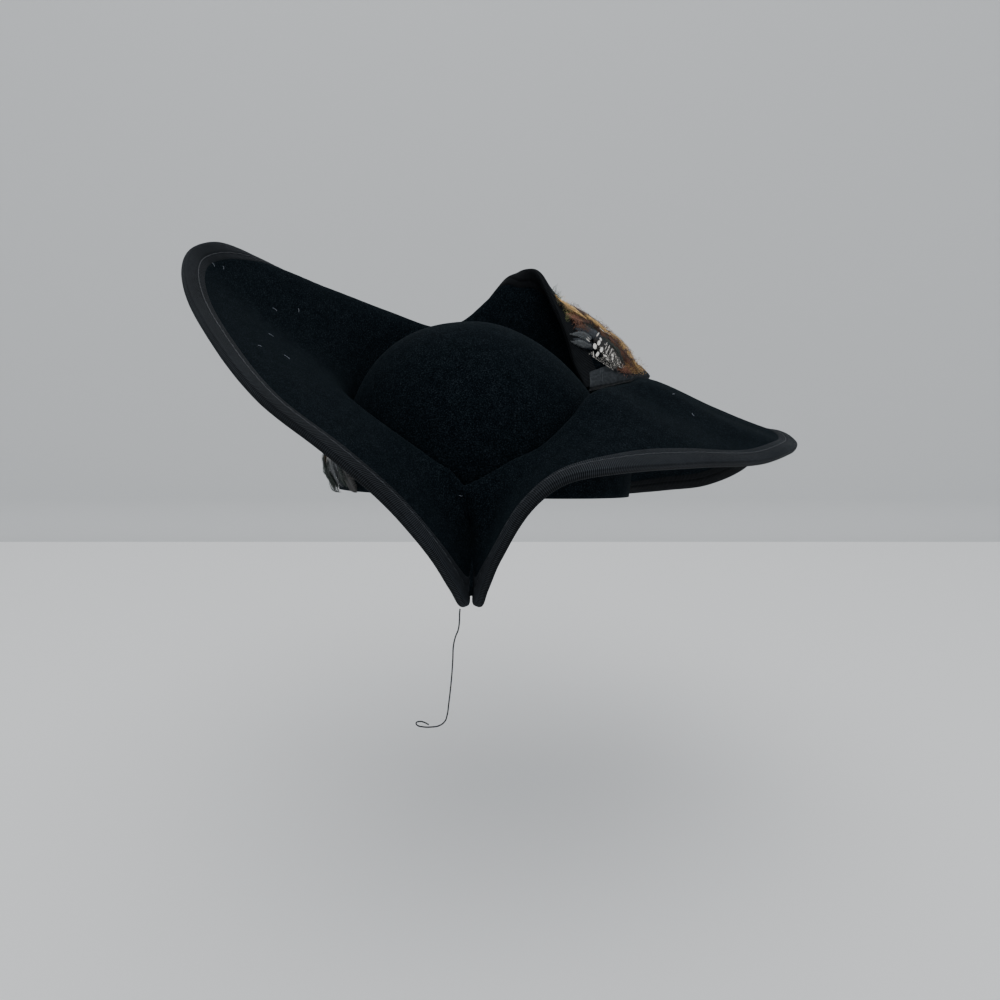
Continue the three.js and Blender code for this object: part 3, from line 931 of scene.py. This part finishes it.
def feather(chart, path, width, kind, growth, rng, marks=None):
    """One feather on a chart: a shaft along the path of s, r and lift, and barbs on both sides."""
    spacing, open_angle, tip_angle, curl, unruly, thick = GROWTH[growth]
    inner, outer = (np.array(c) for c in PLUMAGE[kind])
    length = smooth_path(path, 12)[1]
    count = max(10, int(length / spacing))
    line = smooth_path(path, count)[0]
    heading = np.arctan2(np.gradient(line[:, 1]), np.gradient(line[:, 0]))[:, None]
    line = line[:, :, None]
    # t runs along the shaft and u along each barb
    t = np.linspace(0, 1, count)[:, None]
    u = np.linspace(0, 1, BARB_POINTS)[None, :]
    reach = width * np.clip(np.sin(np.pi * np.clip(t * 0.93 + 0.07, 0, 1) ** 0.8), 0.12, 1) ** 0.6
    parts = []
    for side in (1, -1):
        wild = rng.normal(0, 1, (count, 1))
        angle = np.radians(open_angle + (tip_angle - open_angle) * t)
        angle = angle - np.radians(curl) * u * (0.5 + 0.5 * t)
        angle = heading + side * (angle + unruly * 0.35 * wild)
        long = reach * (1 + unruly * 0.5 * rng.normal(0, 1, (count, 1)).clip(-1.5, 1.5))
        step = long / (BARB_POINTS - 1)
        s = line[:, 0] + np.cumsum(np.cos(angle) * step, axis=1) - np.cos(angle[:, :1]) * step
        r = line[:, 1] + np.cumsum(np.sin(angle) * step, axis=1) - np.sin(angle[:, :1]) * step
        arch = 0.5 * np.sin(np.pi * u) - 0.7 * u ** 2
        wave = unruly * 1.3 * rng.normal(0, 1, (count, 1)) * u ** 1.5
        lift = np.maximum(line[:, 2] + arch + wave, 0.12)
        outward = u[..., None] ** 0.8
        tint = inner * (1 - outward) + outer * outward
        tint = tint * (1 + 0.22 * rng.normal(0, 1, (count, 1, 1))).clip(0.45, 1.6)
        if marks is not None:
            tint = marks(tint, t * length, u * long)
        parts.append(barb_strips(chart, s, r, lift, thick * (1 - 0.8 * u), tint))
    s, r, lift = line.transpose(1, 2, 0)
    half = 0.22 * (1 - 0.8 * t.T) + 0.03
    tint = np.tile((inner + outer) / 2, (count, 1))
    parts.append(barb_strips(chart, s, r, lift + 0.16, half, tint))
    return parts


def fluff(chart, rng, kind, s, r, s_spread, r_spread, count, length, lift, stand, thick=0.09):
    """Loose curled barbs that stand out round a place on a chart."""
    inner, outer = (np.array(c) for c in PLUMAGE[kind])
    s = s + rng.normal(0, 1, (count, 1)) * s_spread
    r = r + rng.normal(0, 1, (count, 1)) * r_spread
    turn = rng.uniform(-math.pi, math.pi, (count, 1))
    bend = rng.normal(0, 0.5, (count, 1))
    u = np.linspace(0, 1, FLUFF_POINTS)[None, :]
    angle = turn + bend * u * 2
    step = length * rng.uniform(0.5, 1.2, (count, 1)) / (FLUFF_POINTS - 1)
    s = s + np.cumsum(np.cos(angle) * step, axis=1)
    r = r + np.cumsum(np.sin(angle) * step, axis=1)
    rise = lift * rng.uniform(0.5, 1.1, (count, 1)) + stand * rng.uniform(0, 1, (count, 1)) * u ** 1.3
    tint = inner * (1 - u[..., None]) + outer * u[..., None]
    tint = tint * rng.uniform(0.6, 1.3, (count, 1, 1))
    return [barb_strips(chart, s, r, rise, thick * (1 - 0.7 * u), tint)]


def spots(chart, rows, tint, sides):
    """Oval spots from rows of s, r, lift, half length, half width and angle in degrees."""
    s, r, lift, long, wide, angle = np.array(rows, float).T[:, :, None]
    turn = np.arange(sides) * 2 * math.pi / sides
    x, y = long * np.cos(turn), wide * np.sin(turn)
    a = np.radians(angle)
    ring = on_chart(chart, s + x * np.cos(a) - y * np.sin(a), r + x * np.sin(a) + y * np.cos(a), lift)
    vertices = np.concatenate([ring, on_chart(chart, s, r, lift + 0.12)], axis=1).reshape(-1, 3)
    faces = [(base + n, base + (n + 1) % sides, base + sides)
             for base in range(0, len(vertices), sides + 1) for n in range(sides)]
    return [(vertices, faces, np.tile(tint, (len(vertices), 1)))]


def plumage_piece(name, parts, node):
    points, faces = join(parts)
    tints = np.concatenate([part[2] for part in parts])
    mesh_piece(name, points, faces, PLUME, node, {"tint": np.clip(tints, 0, 1)})


def painted(tint, wave, share, sharpness, colour):
    """Paints a tint where a wave is in the top share of its range."""
    paint = np.clip((wave - (1 - 2 * share)) * sharpness, 0, 1)[..., None]
    return tint * (1 - paint) + np.array(colour) * paint


def dark_patches(spacing, share, colour):
    """Marks a feather with dark patches along its shaft."""
    def marks(tint, along, out):
        wave = np.sin(along / spacing * 2 * math.pi + 0.6 * np.sin(out * 1.7))
        return painted(tint, wave, share, 4, colour)
    return marks


def bars(spacing, share, colour, lean=0.5):
    """Marks a feather with bars that lean towards its tip."""
    def marks(tint, along, out):
        wave = np.sin((along + lean * out) / spacing * 2 * math.pi)
        return painted(tint, wave, share, 3, colour)
    return marks


# Feathers of the pad on the flap: kind, growth, width, then the shaft's points s, r and lift.
# s runs down the flap from its top, r from the shoulder towards the bound edge.
PAD_FEATHERS = [
    ["brown", "soft", 8, [[20, 22, 0.6], [34, 15, 1.2], [50, 8, 1.8]]],
    ["brown", "soft", 9, [[34, 13, 1], [50, 6, 1.8], [66, 3, 2.2]]],
    ["brown", "soft", 9, [[52, 6, 1.2], [68, 3, 2.2], [84, 5, 2]]],
    ["brown", "soft", 9, [[66, 5, 1.2], [82, 6, 2.2], [96, 9, 1.6]]],
    ["coque", "soft", 7, [[44, 14, 1.4], [58, 8, 2.2], [74, 7, 2.4]]],
    ["coque", "soft", 7, [[64, 10, 1.6], [78, 8, 2.4], [92, 12, 2]]],
    ["brown", "vane", 4.2, [[13, 31, 1.6], [22, 24.5, 2.6], [32, 17.5, 3.4], [43, 11, 3.4]]],
    ["brown", "soft", 3.8, [[38, 12.5, 2.4], [50, 7.5, 3], [64, 3.2, 3.8]]],
    ["brown", "soft", 3.6, [[60, 2.5, 4.6], [74, 2.5, 4.8], [88, 5, 4.2]]],
    ["rust", "soft", 5.5, [[28, 26, 1.8], [37, 20, 2.6], [48, 12, 3.2]]],
    ["rust", "soft", 4.5, [[40, 16, 2.4], [52, 6.5, 3.8], [65, 3, 4.4]]],
    ["rust", "vane", 4.5, [[54, 7, 3.4], [68, 4.5, 4.4], [80, 6, 4.2]]],
    ["rust", "soft", 5.5, [[66, 6, 3.6], [80, 6.5, 4.2], [95, 10, 3.4]]],
    ["rust", "plume", 4, [[72, 3.5, 4.2], [84, 6, 4.2], [97, 9, 3.4]]],
    ["straw", "vane", 5, [[13.5, 31.4, 2.2], [22, 26.2, 3.9], [32, 20, 4.4], [43, 14, 4]]],
    ["straw", "soft", 2.6, [[17, 28.8, 2.8], [26, 23.6, 4.2], [35, 18, 4.4]]],
    ["gold", "soft", 2.6, [[38, 14, 3.2], [48, 9, 3.6], [59, 4.4, 4.2]]],
    ["gold", "soft", 2.6, [[52, 6.8, 3.8], [64, 3.2, 4.6], [77, 3.4, 4.9]]],
    ["gold", "soft", 2.8, [[70, 2.4, 5.4], [82, 4, 5.2], [96, 8, 3.8]]],
    ["straw", "vane", 1.8, [[42, 12, 3.5], [53, 6.2, 4], [64, 2.4, 4.8], [76, 2.2, 5.1]]],
    ["pink", "plume", 3, [[29, 27.5, 2.4], [36, 22, 2.8], [45, 15, 3.2]]],
    ["slate", "vane", 5.5, [[50, 16, 2.6], [60, 10, 3.6], [72, 8, 3.8]]],
    ["slate", "soft", 5.5, [[58, 12, 3], [50, 17, 3.2], [43, 24, 2.6]]],
    ["slate", "soft", 5.5, [[66, 17, 2.4], [57, 21, 2.8], [49, 28, 2]]],
    # This narrow dark coque feather is painted shade: it darkens the gap between the guinea feathers
    # and the rust ones
    ["coque", "soft", 2.6, [[62, 7.5, 4], [76, 8, 4.7], [91, 13.5, 3.8]]],
    ["grey", "vane", 4, [[58, 15, 3.2], [50, 22, 3.6], [43.5, 31, 3]]],
    ["grey", "vane", 4, [[63, 18, 2.8], [56, 23.5, 3.2], [48.5, 32, 2.4]]],
    ["brown", "soft", 3, [[57, 12, 2.2], [48, 17, 3.6], [42, 25, 3]]],
]
# The two guinea feathers of the pad: width and the shaft's points
GUINEA_FEATHERS = [
    [8.5, [[58, 10, 3.4], [74, 14, 4.3], [91, 19.5, 3]]],
    [6, [[66, 9, 3.6], [80, 12, 4.2], [93, 17, 3]]],
]
# White marks on them: s, r, half length, half width, angle in degrees
GUINEA_OVALS = [
    [65.5, 17.5, 2.7, 1.25, 31],
    [64.9, 13.7, 2.2, 1.05, 46],
    [71, 16.2, 2.4, 1, 45],
    [72.8, 20.8, 2.5, 1, 50],
    [63.2, 10.9, 1.6, 0.6, 22],
]
GUINEA_CLUMPS = [
    [77, 17.9, 1.4, 0.7, -10],
    [79.2, 14, 1.5, 0.75, 25],
    [81.8, 16.1, 1.3, 0.5, 38],
    [80.8, 19.1, 1.2, 0.5, 7],
    [58.8, 10.2, 1.6, 0.55, 67],
]
GUINEA_STREAKS = [
    [71.1, 22.8, 3.6, 0.34, 33],
    [57.6, 18.7, 2.4, 0.36, -27],
    [56.9, 17.6, 1.8, 0.22, -24],
    [71.1, 12.8, 1.9, 0.28, 56],
    [71.7, 10.9, 1.9, 0.27, 55],
    [73.8, 13.8, 1.9, 0.28, 58],
    [74.8, 11.2, 1.8, 0.26, 48],
    [76.2, 13.2, 1.5, 0.24, 55],
    [68.6, 10.4, 1.6, 0.22, 60],
]
LONG_STREAKS = [
    [57.6, 6.5, 2.6, 0.13, -22],
    [62, 4.6, 2.2, 0.11, -20],
    [56.8, 6.9, 1.4, 0.1, -30],
]
# Their speckles: s and r of the first one, lines, dots in a line, and millimetres between them
SPECKLE_S = 68
SPECKLE_R = 9.5
SPECKLE_LINES = 17
SPECKLE_DOTS = 26
DOT_GAP = 1.15
LINE_GAP = 0.95
OVAL_CLEARANCE = 2.4
# Dots along the feather's border
BORDER_DOTS = 17
# Loose barbs: kind, middle s and r, spread in s and r, count, length, lift, stand and, where it
# isn't the usual one, half width
PAD_FLUFF = [
    ["straw", 24, 23.5, 4, 1.4, 60, 2.6, 4, 0.8],
    ["gold", 35, 17.5, 4, 1.2, 50, 2.6, 3.8, 0.7],
    ["gold", 62, 1.5, 12, 0.9, 160, 2.6, 4.6, 0.6],
    ["rust", 70, 4, 12, 1.4, 260, 3.4, 4.6, 1.2],
    ["pink", 38, 19.5, 4, 1.8, 240, 3.6, 3.2, 1],
    ["rust", 40, 17, 5, 1.8, 160, 4, 3.4, 1.2],
    ["coque", 42, 16, 6, 2.4, 90, 4, 3.8, 1.2],
    ["olive", 31, 26, 1.8, 1.4, 70, 3.5, 2.8, 1.4],
    ["pink", 93, 14.5, 1.8, 1.8, 200, 3.2, 3.4, 1.2],
    ["gold", 94, 8, 2.4, 1.8, 260, 4, 3.6, 1.2],
    ["rust", 90, 9, 3, 2, 160, 4, 3.8, 1.2],
    ["coque", 15, 30, 1.6, 1.2, 46, 5, 2.4, 4.4, 0.16],
    ["olive", 17, 28, 2.4, 1.6, 40, 4, 2.8, 3, 0.12],
]


def guinea_speckles(rng):
    """Rows for spots: lines of dots over the guinea feathers, clear of their ovals."""
    speckles = []
    for line in range(SPECKLE_LINES):
        for dot in range(SPECKLE_DOTS):
            s = SPECKLE_S + DOT_GAP * dot + 0.6 * (line % 2) + rng.normal(0, 0.2)
            r = SPECKLE_R + LINE_GAP * line + rng.normal(0, 0.2) - 0.06 * (s - SPECKLE_S)
            near = min(math.hypot(s - oval[0], r - oval[1]) for oval in GUINEA_OVALS)
            border = 24.6 - 0.06 * (s - 72)
            tip = 94 - 0.4 * (r - 12)
            inner = SPECKLE_R + 0.28 * max(s - 74, 0)
            if near < OVAL_CLEARANCE or r > border or s > tip or r < inner:
                continue
            # Dots are fewer near the shaft's root
            if s < 77 and r < 22 and rng.random() < 0.6:
                continue
            size = rng.uniform(0.5, 1.15)
            stretch = 2.4 if r < 19 else 1.5
            angle = 52 - 1.5 * (s - 70) + rng.normal(0, 10)
            speckles.append([s, r, 5.35, 0.27 * size * stretch, 0.26 * size, angle])
    for dot in range(BORDER_DOTS):
        s = 72.5 + 1.2 * dot + rng.normal(0, 0.1)
        r = 24.4 - 0.07 * (s - 72) + rng.normal(0, 0.15)
        speckles.append([s, r, 5.2, rng.uniform(0.28, 0.5), 0.26, rng.uniform(-20, 60)])
    return speckles


def make_pad():
    """Feathers on the flap: golden and rust ones below, a spotted guinea feather over them."""
    chart = make_chart(-288, -316, 3.2, 9, 6)
    rng = np.random.default_rng(4)
    marks = {
        "rust": dark_patches(7.5, 0.34, (0.01, 0.007, 0.004)),
        "gold": bars(8.0, 0.22, (0.1, 0.032, 0.01), 0.9),
    }
    parts = []
    for kind, growth, width, path in PAD_FEATHERS:
        parts += feather(chart, path, width, kind, growth, rng, marks.get(kind))
    for width, path in GUINEA_FEATHERS:
        parts += feather(chart, path, width, "guinea", "vane", rng)
    for rows, lift, tint in (
        (GUINEA_OVALS, 5.5, (0.84, 0.83, 0.79)),
        (GUINEA_CLUMPS, 5.5, (0.66, 0.64, 0.6)),
        (GUINEA_STREAKS, 5.4, (0.52, 0.51, 0.48)),
        (LONG_STREAKS, 5.6, (0.6, 0.59, 0.56)),
    ):
        parts += spots(chart, [[s, r, lift, *rest] for s, r, *rest in rows], tint, 16)
    speckles = guinea_speckles(rng)
    pale = [row for k, row in enumerate(speckles) if k % 3]
    parts += spots(chart, pale, (0.3, 0.285, 0.26), 8)
    parts += spots(chart, speckles[::3], (0.62, 0.6, 0.56), 8)
    for row in PAD_FLUFF:
        parts += fluff(chart, rng, *row)
    plumage_piece("pad_plumage", parts, "feather_pad")


# Long feathers of the far side: how many, their width, their kinds in turn, their bars, and how far
# the middle of the row drifts across the chart
SWEEP_COUNT = 17
SWEEP_WIDTH = 8.5
SWEEP_LENGTH = 62
SWEEP_LANE = 7.0
SWEEP_KINDS = ("brown", "coque", "rust", "brown", "coque")
SWEEP_MARKS = {
    "brown": bars(7.5, 0.3, (0.012, 0.009, 0.006), 0.6),
    "rust": bars(9.0, 0.22, (0.02, 0.014, 0.008), 0.5),
}
SWEEP_MIDDLE = -4
SWEEP_DRIFT = 7


def make_sweep():
    """Long feathers laid like tiles along the outer face of the far side."""
    chart = make_chart(-199, -310, 0.5, 5.2, 2.2)
    rng = np.random.default_rng(11)
    length = chart["points"].shape[0] - 1
    parts = []
    for k in range(SWEEP_COUNT):
        share = k / (SWEEP_COUNT - 1)
        s0 = 2 + share * (length - SWEEP_LENGTH)
        middle = SWEEP_MIDDLE + SWEEP_DRIFT * share
        lane = (k % 3 - 1) * SWEEP_LANE
        kind = SWEEP_KINDS[k % len(SWEEP_KINDS)]
        path = [
            [s0, middle + lane * 0.5, 0.8],
            [s0 + 20, middle + lane * 0.9 + rng.normal(0, 0.6), 1.6],
            [s0 + 40, middle + lane * 1.1 + rng.normal(0, 0.8), 2.4],
            [s0 + 58, middle + lane * 0.9 + 2.0, 2.6],
        ]
        parts += feather(chart, path, SWEEP_WIDTH, kind, "vane", rng, SWEEP_MARKS.get(kind))
    for s0, r0, kind in ((6, -6, "grey"), (10, 3, "slate"), (14, -1, "gold")):
        path = [[s0, r0, 1.2], [s0 + 16, r0 + 1, 2.4], [s0 + 34, r0 + 2, 2.6]]
        parts += feather(chart, path, 6.5, kind, "soft", rng)
    parts += fluff(chart, rng, "brown", 8, -3, 5, 4, 260, 6, 2.0, 1.6)
    parts += fluff(chart, rng, "rust", length - 8, 4, 6, 5, 260, 6, 2.2, 1.4)
    plumage_piece("sweep_plumage", parts, "feather_sweep")


# Pale fibres caught on the felt: place, ring, length and angle from the rows in degrees
LINT_MARKS = [
    [25.26, 7.86, 3.4, 60],
    [25.44, 7.66, 2.8, 40],
    [25.81, 5.57, 3.8, 75],
    [26.42, 5.14, 3.4, 62],
    [24.18, 5.68, 4.2, 100],
    [23.28, 6.71, 3.4, 110],
    [23.35, 5.57, 4.6, 40],
    [17.45, 2.85, 3, 222],
    [6.6, 4.6, 4.6, 4],
    [7.4, 5.6, 2.6, 70],
]
LINT_RADIUS = 0.1


def make_lint():
    parts = []
    rng = np.random.default_rng(21)
    for place, ring, length, angle in LINT_MARKS:
        near = brim_points([place - 0.05, place, place + 0.05], [ring - 0.1, ring, ring + 0.1])
        along = unit(near[2, 1] - near[0, 1])
        normal = grid_normals(near)[1, 1]
        across = np.cross(normal, along)
        turn = math.radians(angle) + np.linspace(-0.5, 0.5, 9) * rng.uniform(0.6, 1.6)
        steps = np.cos(turn)[:, None] * along + np.sin(turn)[:, None] * across
        line = near[1, 1] + np.cumsum(steps, axis=0) * length / 9 + normal * (HALF_FELT + 0.12)
        parts.append(tube(line, LINT_RADIUS, 5))
    points, faces = join(parts)
    mesh_piece("lint", points, faces, LINT, None)


# Front tuft: the kinds of its broad feathers, then more feathers by width, kind and the shaft's
# points, and the loose strands
TUFT_KINDS = ("slate", "brown", "slate", "coque", "rust", "slate", "coque")
TUFT_FEATHERS = [
    [5.5, "slate", [[40, 4, 3], [33, -4, 5], [25, -10, 5.4], [17, -15, 5]]],
    [5, "slate", [[36, 4, 2], [28, -5, 3.6], [20, -11, 4], [15, -16, 3.6]]],
    [5, "coque", [[28, 3, 2], [21, -5, 3.2], [15, -11, 3.6], [11, -15, 3]]],
    [3, "grey", [[30, 2, 3.4], [24, -5, 5.2], [18, -11, 5.6], [13, -15, 5]]],
    [4.5, "coque", [[42, 3, 3], [38, -6, 5.8], [27, -12, 6.2], [19, -16, 5.6]]],
    [3.5, "brown", [[44, 4, 3.6], [41, -2, 6.6], [36, -9, 7], [26, -13, 6.8]]],
]
TUFT_END = [[15, -6, 2.0], [9, -11, 2.6], [4, -15, 2.6], [0.5, -19, 2.0]]
STRANDS = 46
# Shares of the strands that stop short, and that stop before the longest do
SHORT_STRANDS = 0.35
MIDDLE_STRANDS = 0.88
# Loose barbs of the tuft, in the columns of the pad's
TUFT_FLUFF = [
    ["straw", 42, 1, 2.5, 2.5, 70, 5, 7, 2],
    ["white", 27.5, -0.8, 1.3, 0.7, 60, 2.2, 7, 0.6],
    ["slate", 24, -5, 4, 3, 220, 5, 4.6, 1.6],
    ["coque", 12, -10, 2, 1.6, 120, 3.5, 5.2, 1],
    ["coque", 34, -8, 5, 3, 260, 5, 6.4, 1.6],
]
# Dark feather bodies behind the loose strands: s, r, lift, half length, half width, angle
TUFT_BACKING = [
    [33, -1.5, 5, 6, 2.6, 32],
    [28, -5.5, 5.6, 6.5, 2.8, 34],
    [23, -9.5, 5.8, 6, 2.6, 36],
    [18.5, -13.5, 5.6, 4.5, 2, 40],
    [25, -5, 4.2, 6, 2.6, 36],
    [20, -9.5, 4.2, 5.5, 2.4, 38],
]


def make_front_tuft():
    """The forward end of the trim, over the forehead: broad feathers and loose dark strands."""
    chart = make_chart(-140, -200, 0.0, 3.4, 1.2)
    rng = np.random.default_rng(7)
    dark_bars = bars(8, 0.25, (0.01, 0.01, 0.008))
    parts = []
    for k, kind in enumerate(TUFT_KINDS):
        s0 = 72 - 4.7 * k
        path = [[s0 + 8, 6, 1.0], [s0 - 2, 2 - 0.6 * k, 4.0], [s0 - 16, -7 + rng.normal(0, 1), 5.5]]
        growth = "vane" if k % 2 else "soft"
        marks = dark_bars if kind in ("brown", "rust") else None
        parts += feather(chart, path, 6.5, kind, growth, rng, marks)
    for width, kind, path in TUFT_FEATHERS:
        parts += feather(chart, path, width, kind, "soft", rng)
    for _ in range(STRANDS):
        share = rng.random()
        slip = rng.normal(0, 1.6)
        path = [
            [rng.uniform(36, 47), rng.uniform(0, 7), rng.uniform(3, 5)],
            [41.5 + 0.5 * slip, -3.5 + rng.normal(0, 1), 7.2 + rng.normal(0, 0.5)],
            [36 + slip, -9.5 + rng.normal(0, 0.8), 7.3 + rng.normal(0, 0.5)],
            [25 + slip, -12.5 + rng.normal(0, 0.8), 7.2 + rng.normal(0, 0.6)],
        ]
        if share > SHORT_STRANDS:
            path.append([18.5 + slip, -16.5 + rng.normal(0, 1.2), 6.8 + rng.normal(0, 0.6)])
        if share > MIDDLE_STRANDS:
            path.append([14.5 + slip, -21.5 + rng.normal(0, 1), 6.2])
        parts += feather(chart, path, 1.2, "coque", "plume", rng)
    parts += feather(chart, TUFT_END, 8.0, "guinea", "vane", rng)
    parts += spots(chart, TUFT_BACKING, (0.012, 0.015, 0.019), 18)
    for row in TUFT_FLUFF:
        parts += fluff(chart, rng, *row)
    plumage_piece("front_plumage", parts, "feather_front")


make_pad()
make_sweep()
make_front_tuft()
make_lint()


# Floor, backdrop and light, in metres

FLOOR_Z = -0.223
BACKDROP_Y = 0.56
COVE_RADIUS = 0.05
STAGE_HALF_WIDTH = 2.4
STAGE_FRONT_Y = -1.6
STAGE_TOP_Z = 1.8
STAGE_ROUGHNESS = 0.85
ROOM_COLOUR = (0.9, 0.94, 1.0, 1)
ROOM_STRENGTH = 0.88
LIGHT_PLACE = (-0.05, -0.1, 1.3)
LIGHT_TARGET = (0, 0, 0.05)
LIGHT_SIZE = 1.2
LIGHT_POWER = 7


def stage_sheet(name, profile, colour):
    """A sheet across the stage, along a profile of y and z."""
    points = [(side * STAGE_HALF_WIDTH, y, z) for y, z in profile for side in (-1, 1)]
    faces = [(2 * k, 2 * k + 1, 2 * k + 3, 2 * k + 2) for k in range(len(profile) - 1)]
    mesh = smooth_mesh(name, points, faces)
    material, tree, shader = new_material(name)
    connect(tree, shader, {"Base Color": (*colour, 1), "Roughness": STAGE_ROUGHNESS})
    mesh.materials.append(material)
    link(bpy.data.objects.new(name, mesh))


def make_stage():
    cove = [
        (BACKDROP_Y - COVE_RADIUS + COVE_RADIUS * math.sin(angle),
         FLOOR_Z + COVE_RADIUS - COVE_RADIUS * math.cos(angle))
        for angle in np.linspace(0, math.pi / 2, 12)
    ]
    stage_sheet("pale_floor", [(STAGE_FRONT_Y, FLOOR_Z), cove[0]], (0.92, 0.915, 0.9))
    stage_sheet("pale_backdrop", cove + [(BACKDROP_Y, STAGE_TOP_Z)], (0.62, 0.625, 0.62))


def make_light():
    """One large light overhead, turned towards the hat."""
    data = bpy.data.lights.new("overhead", "AREA")
    data.shape = "SQUARE"
    data.size = LIGHT_SIZE
    data.energy = LIGHT_POWER
    light = link(bpy.data.objects.new("overhead", data))
    light.location = LIGHT_PLACE
    x, y, z = unit(np.array(LIGHT_TARGET) - np.array(LIGHT_PLACE))
    light.rotation_euler = (math.acos(-z), 0, math.atan2(x, -y) + math.pi)


def make_world():
    world = bpy.data.worlds.new("soft_room")
    world.use_nodes = True
    tree = world.node_tree
    connect(tree, tree.nodes["Background"], {"Color": ROOM_COLOUR, "Strength": ROOM_STRENGTH})
    bpy.context.scene.world = world


make_stage()
make_world()
make_light()
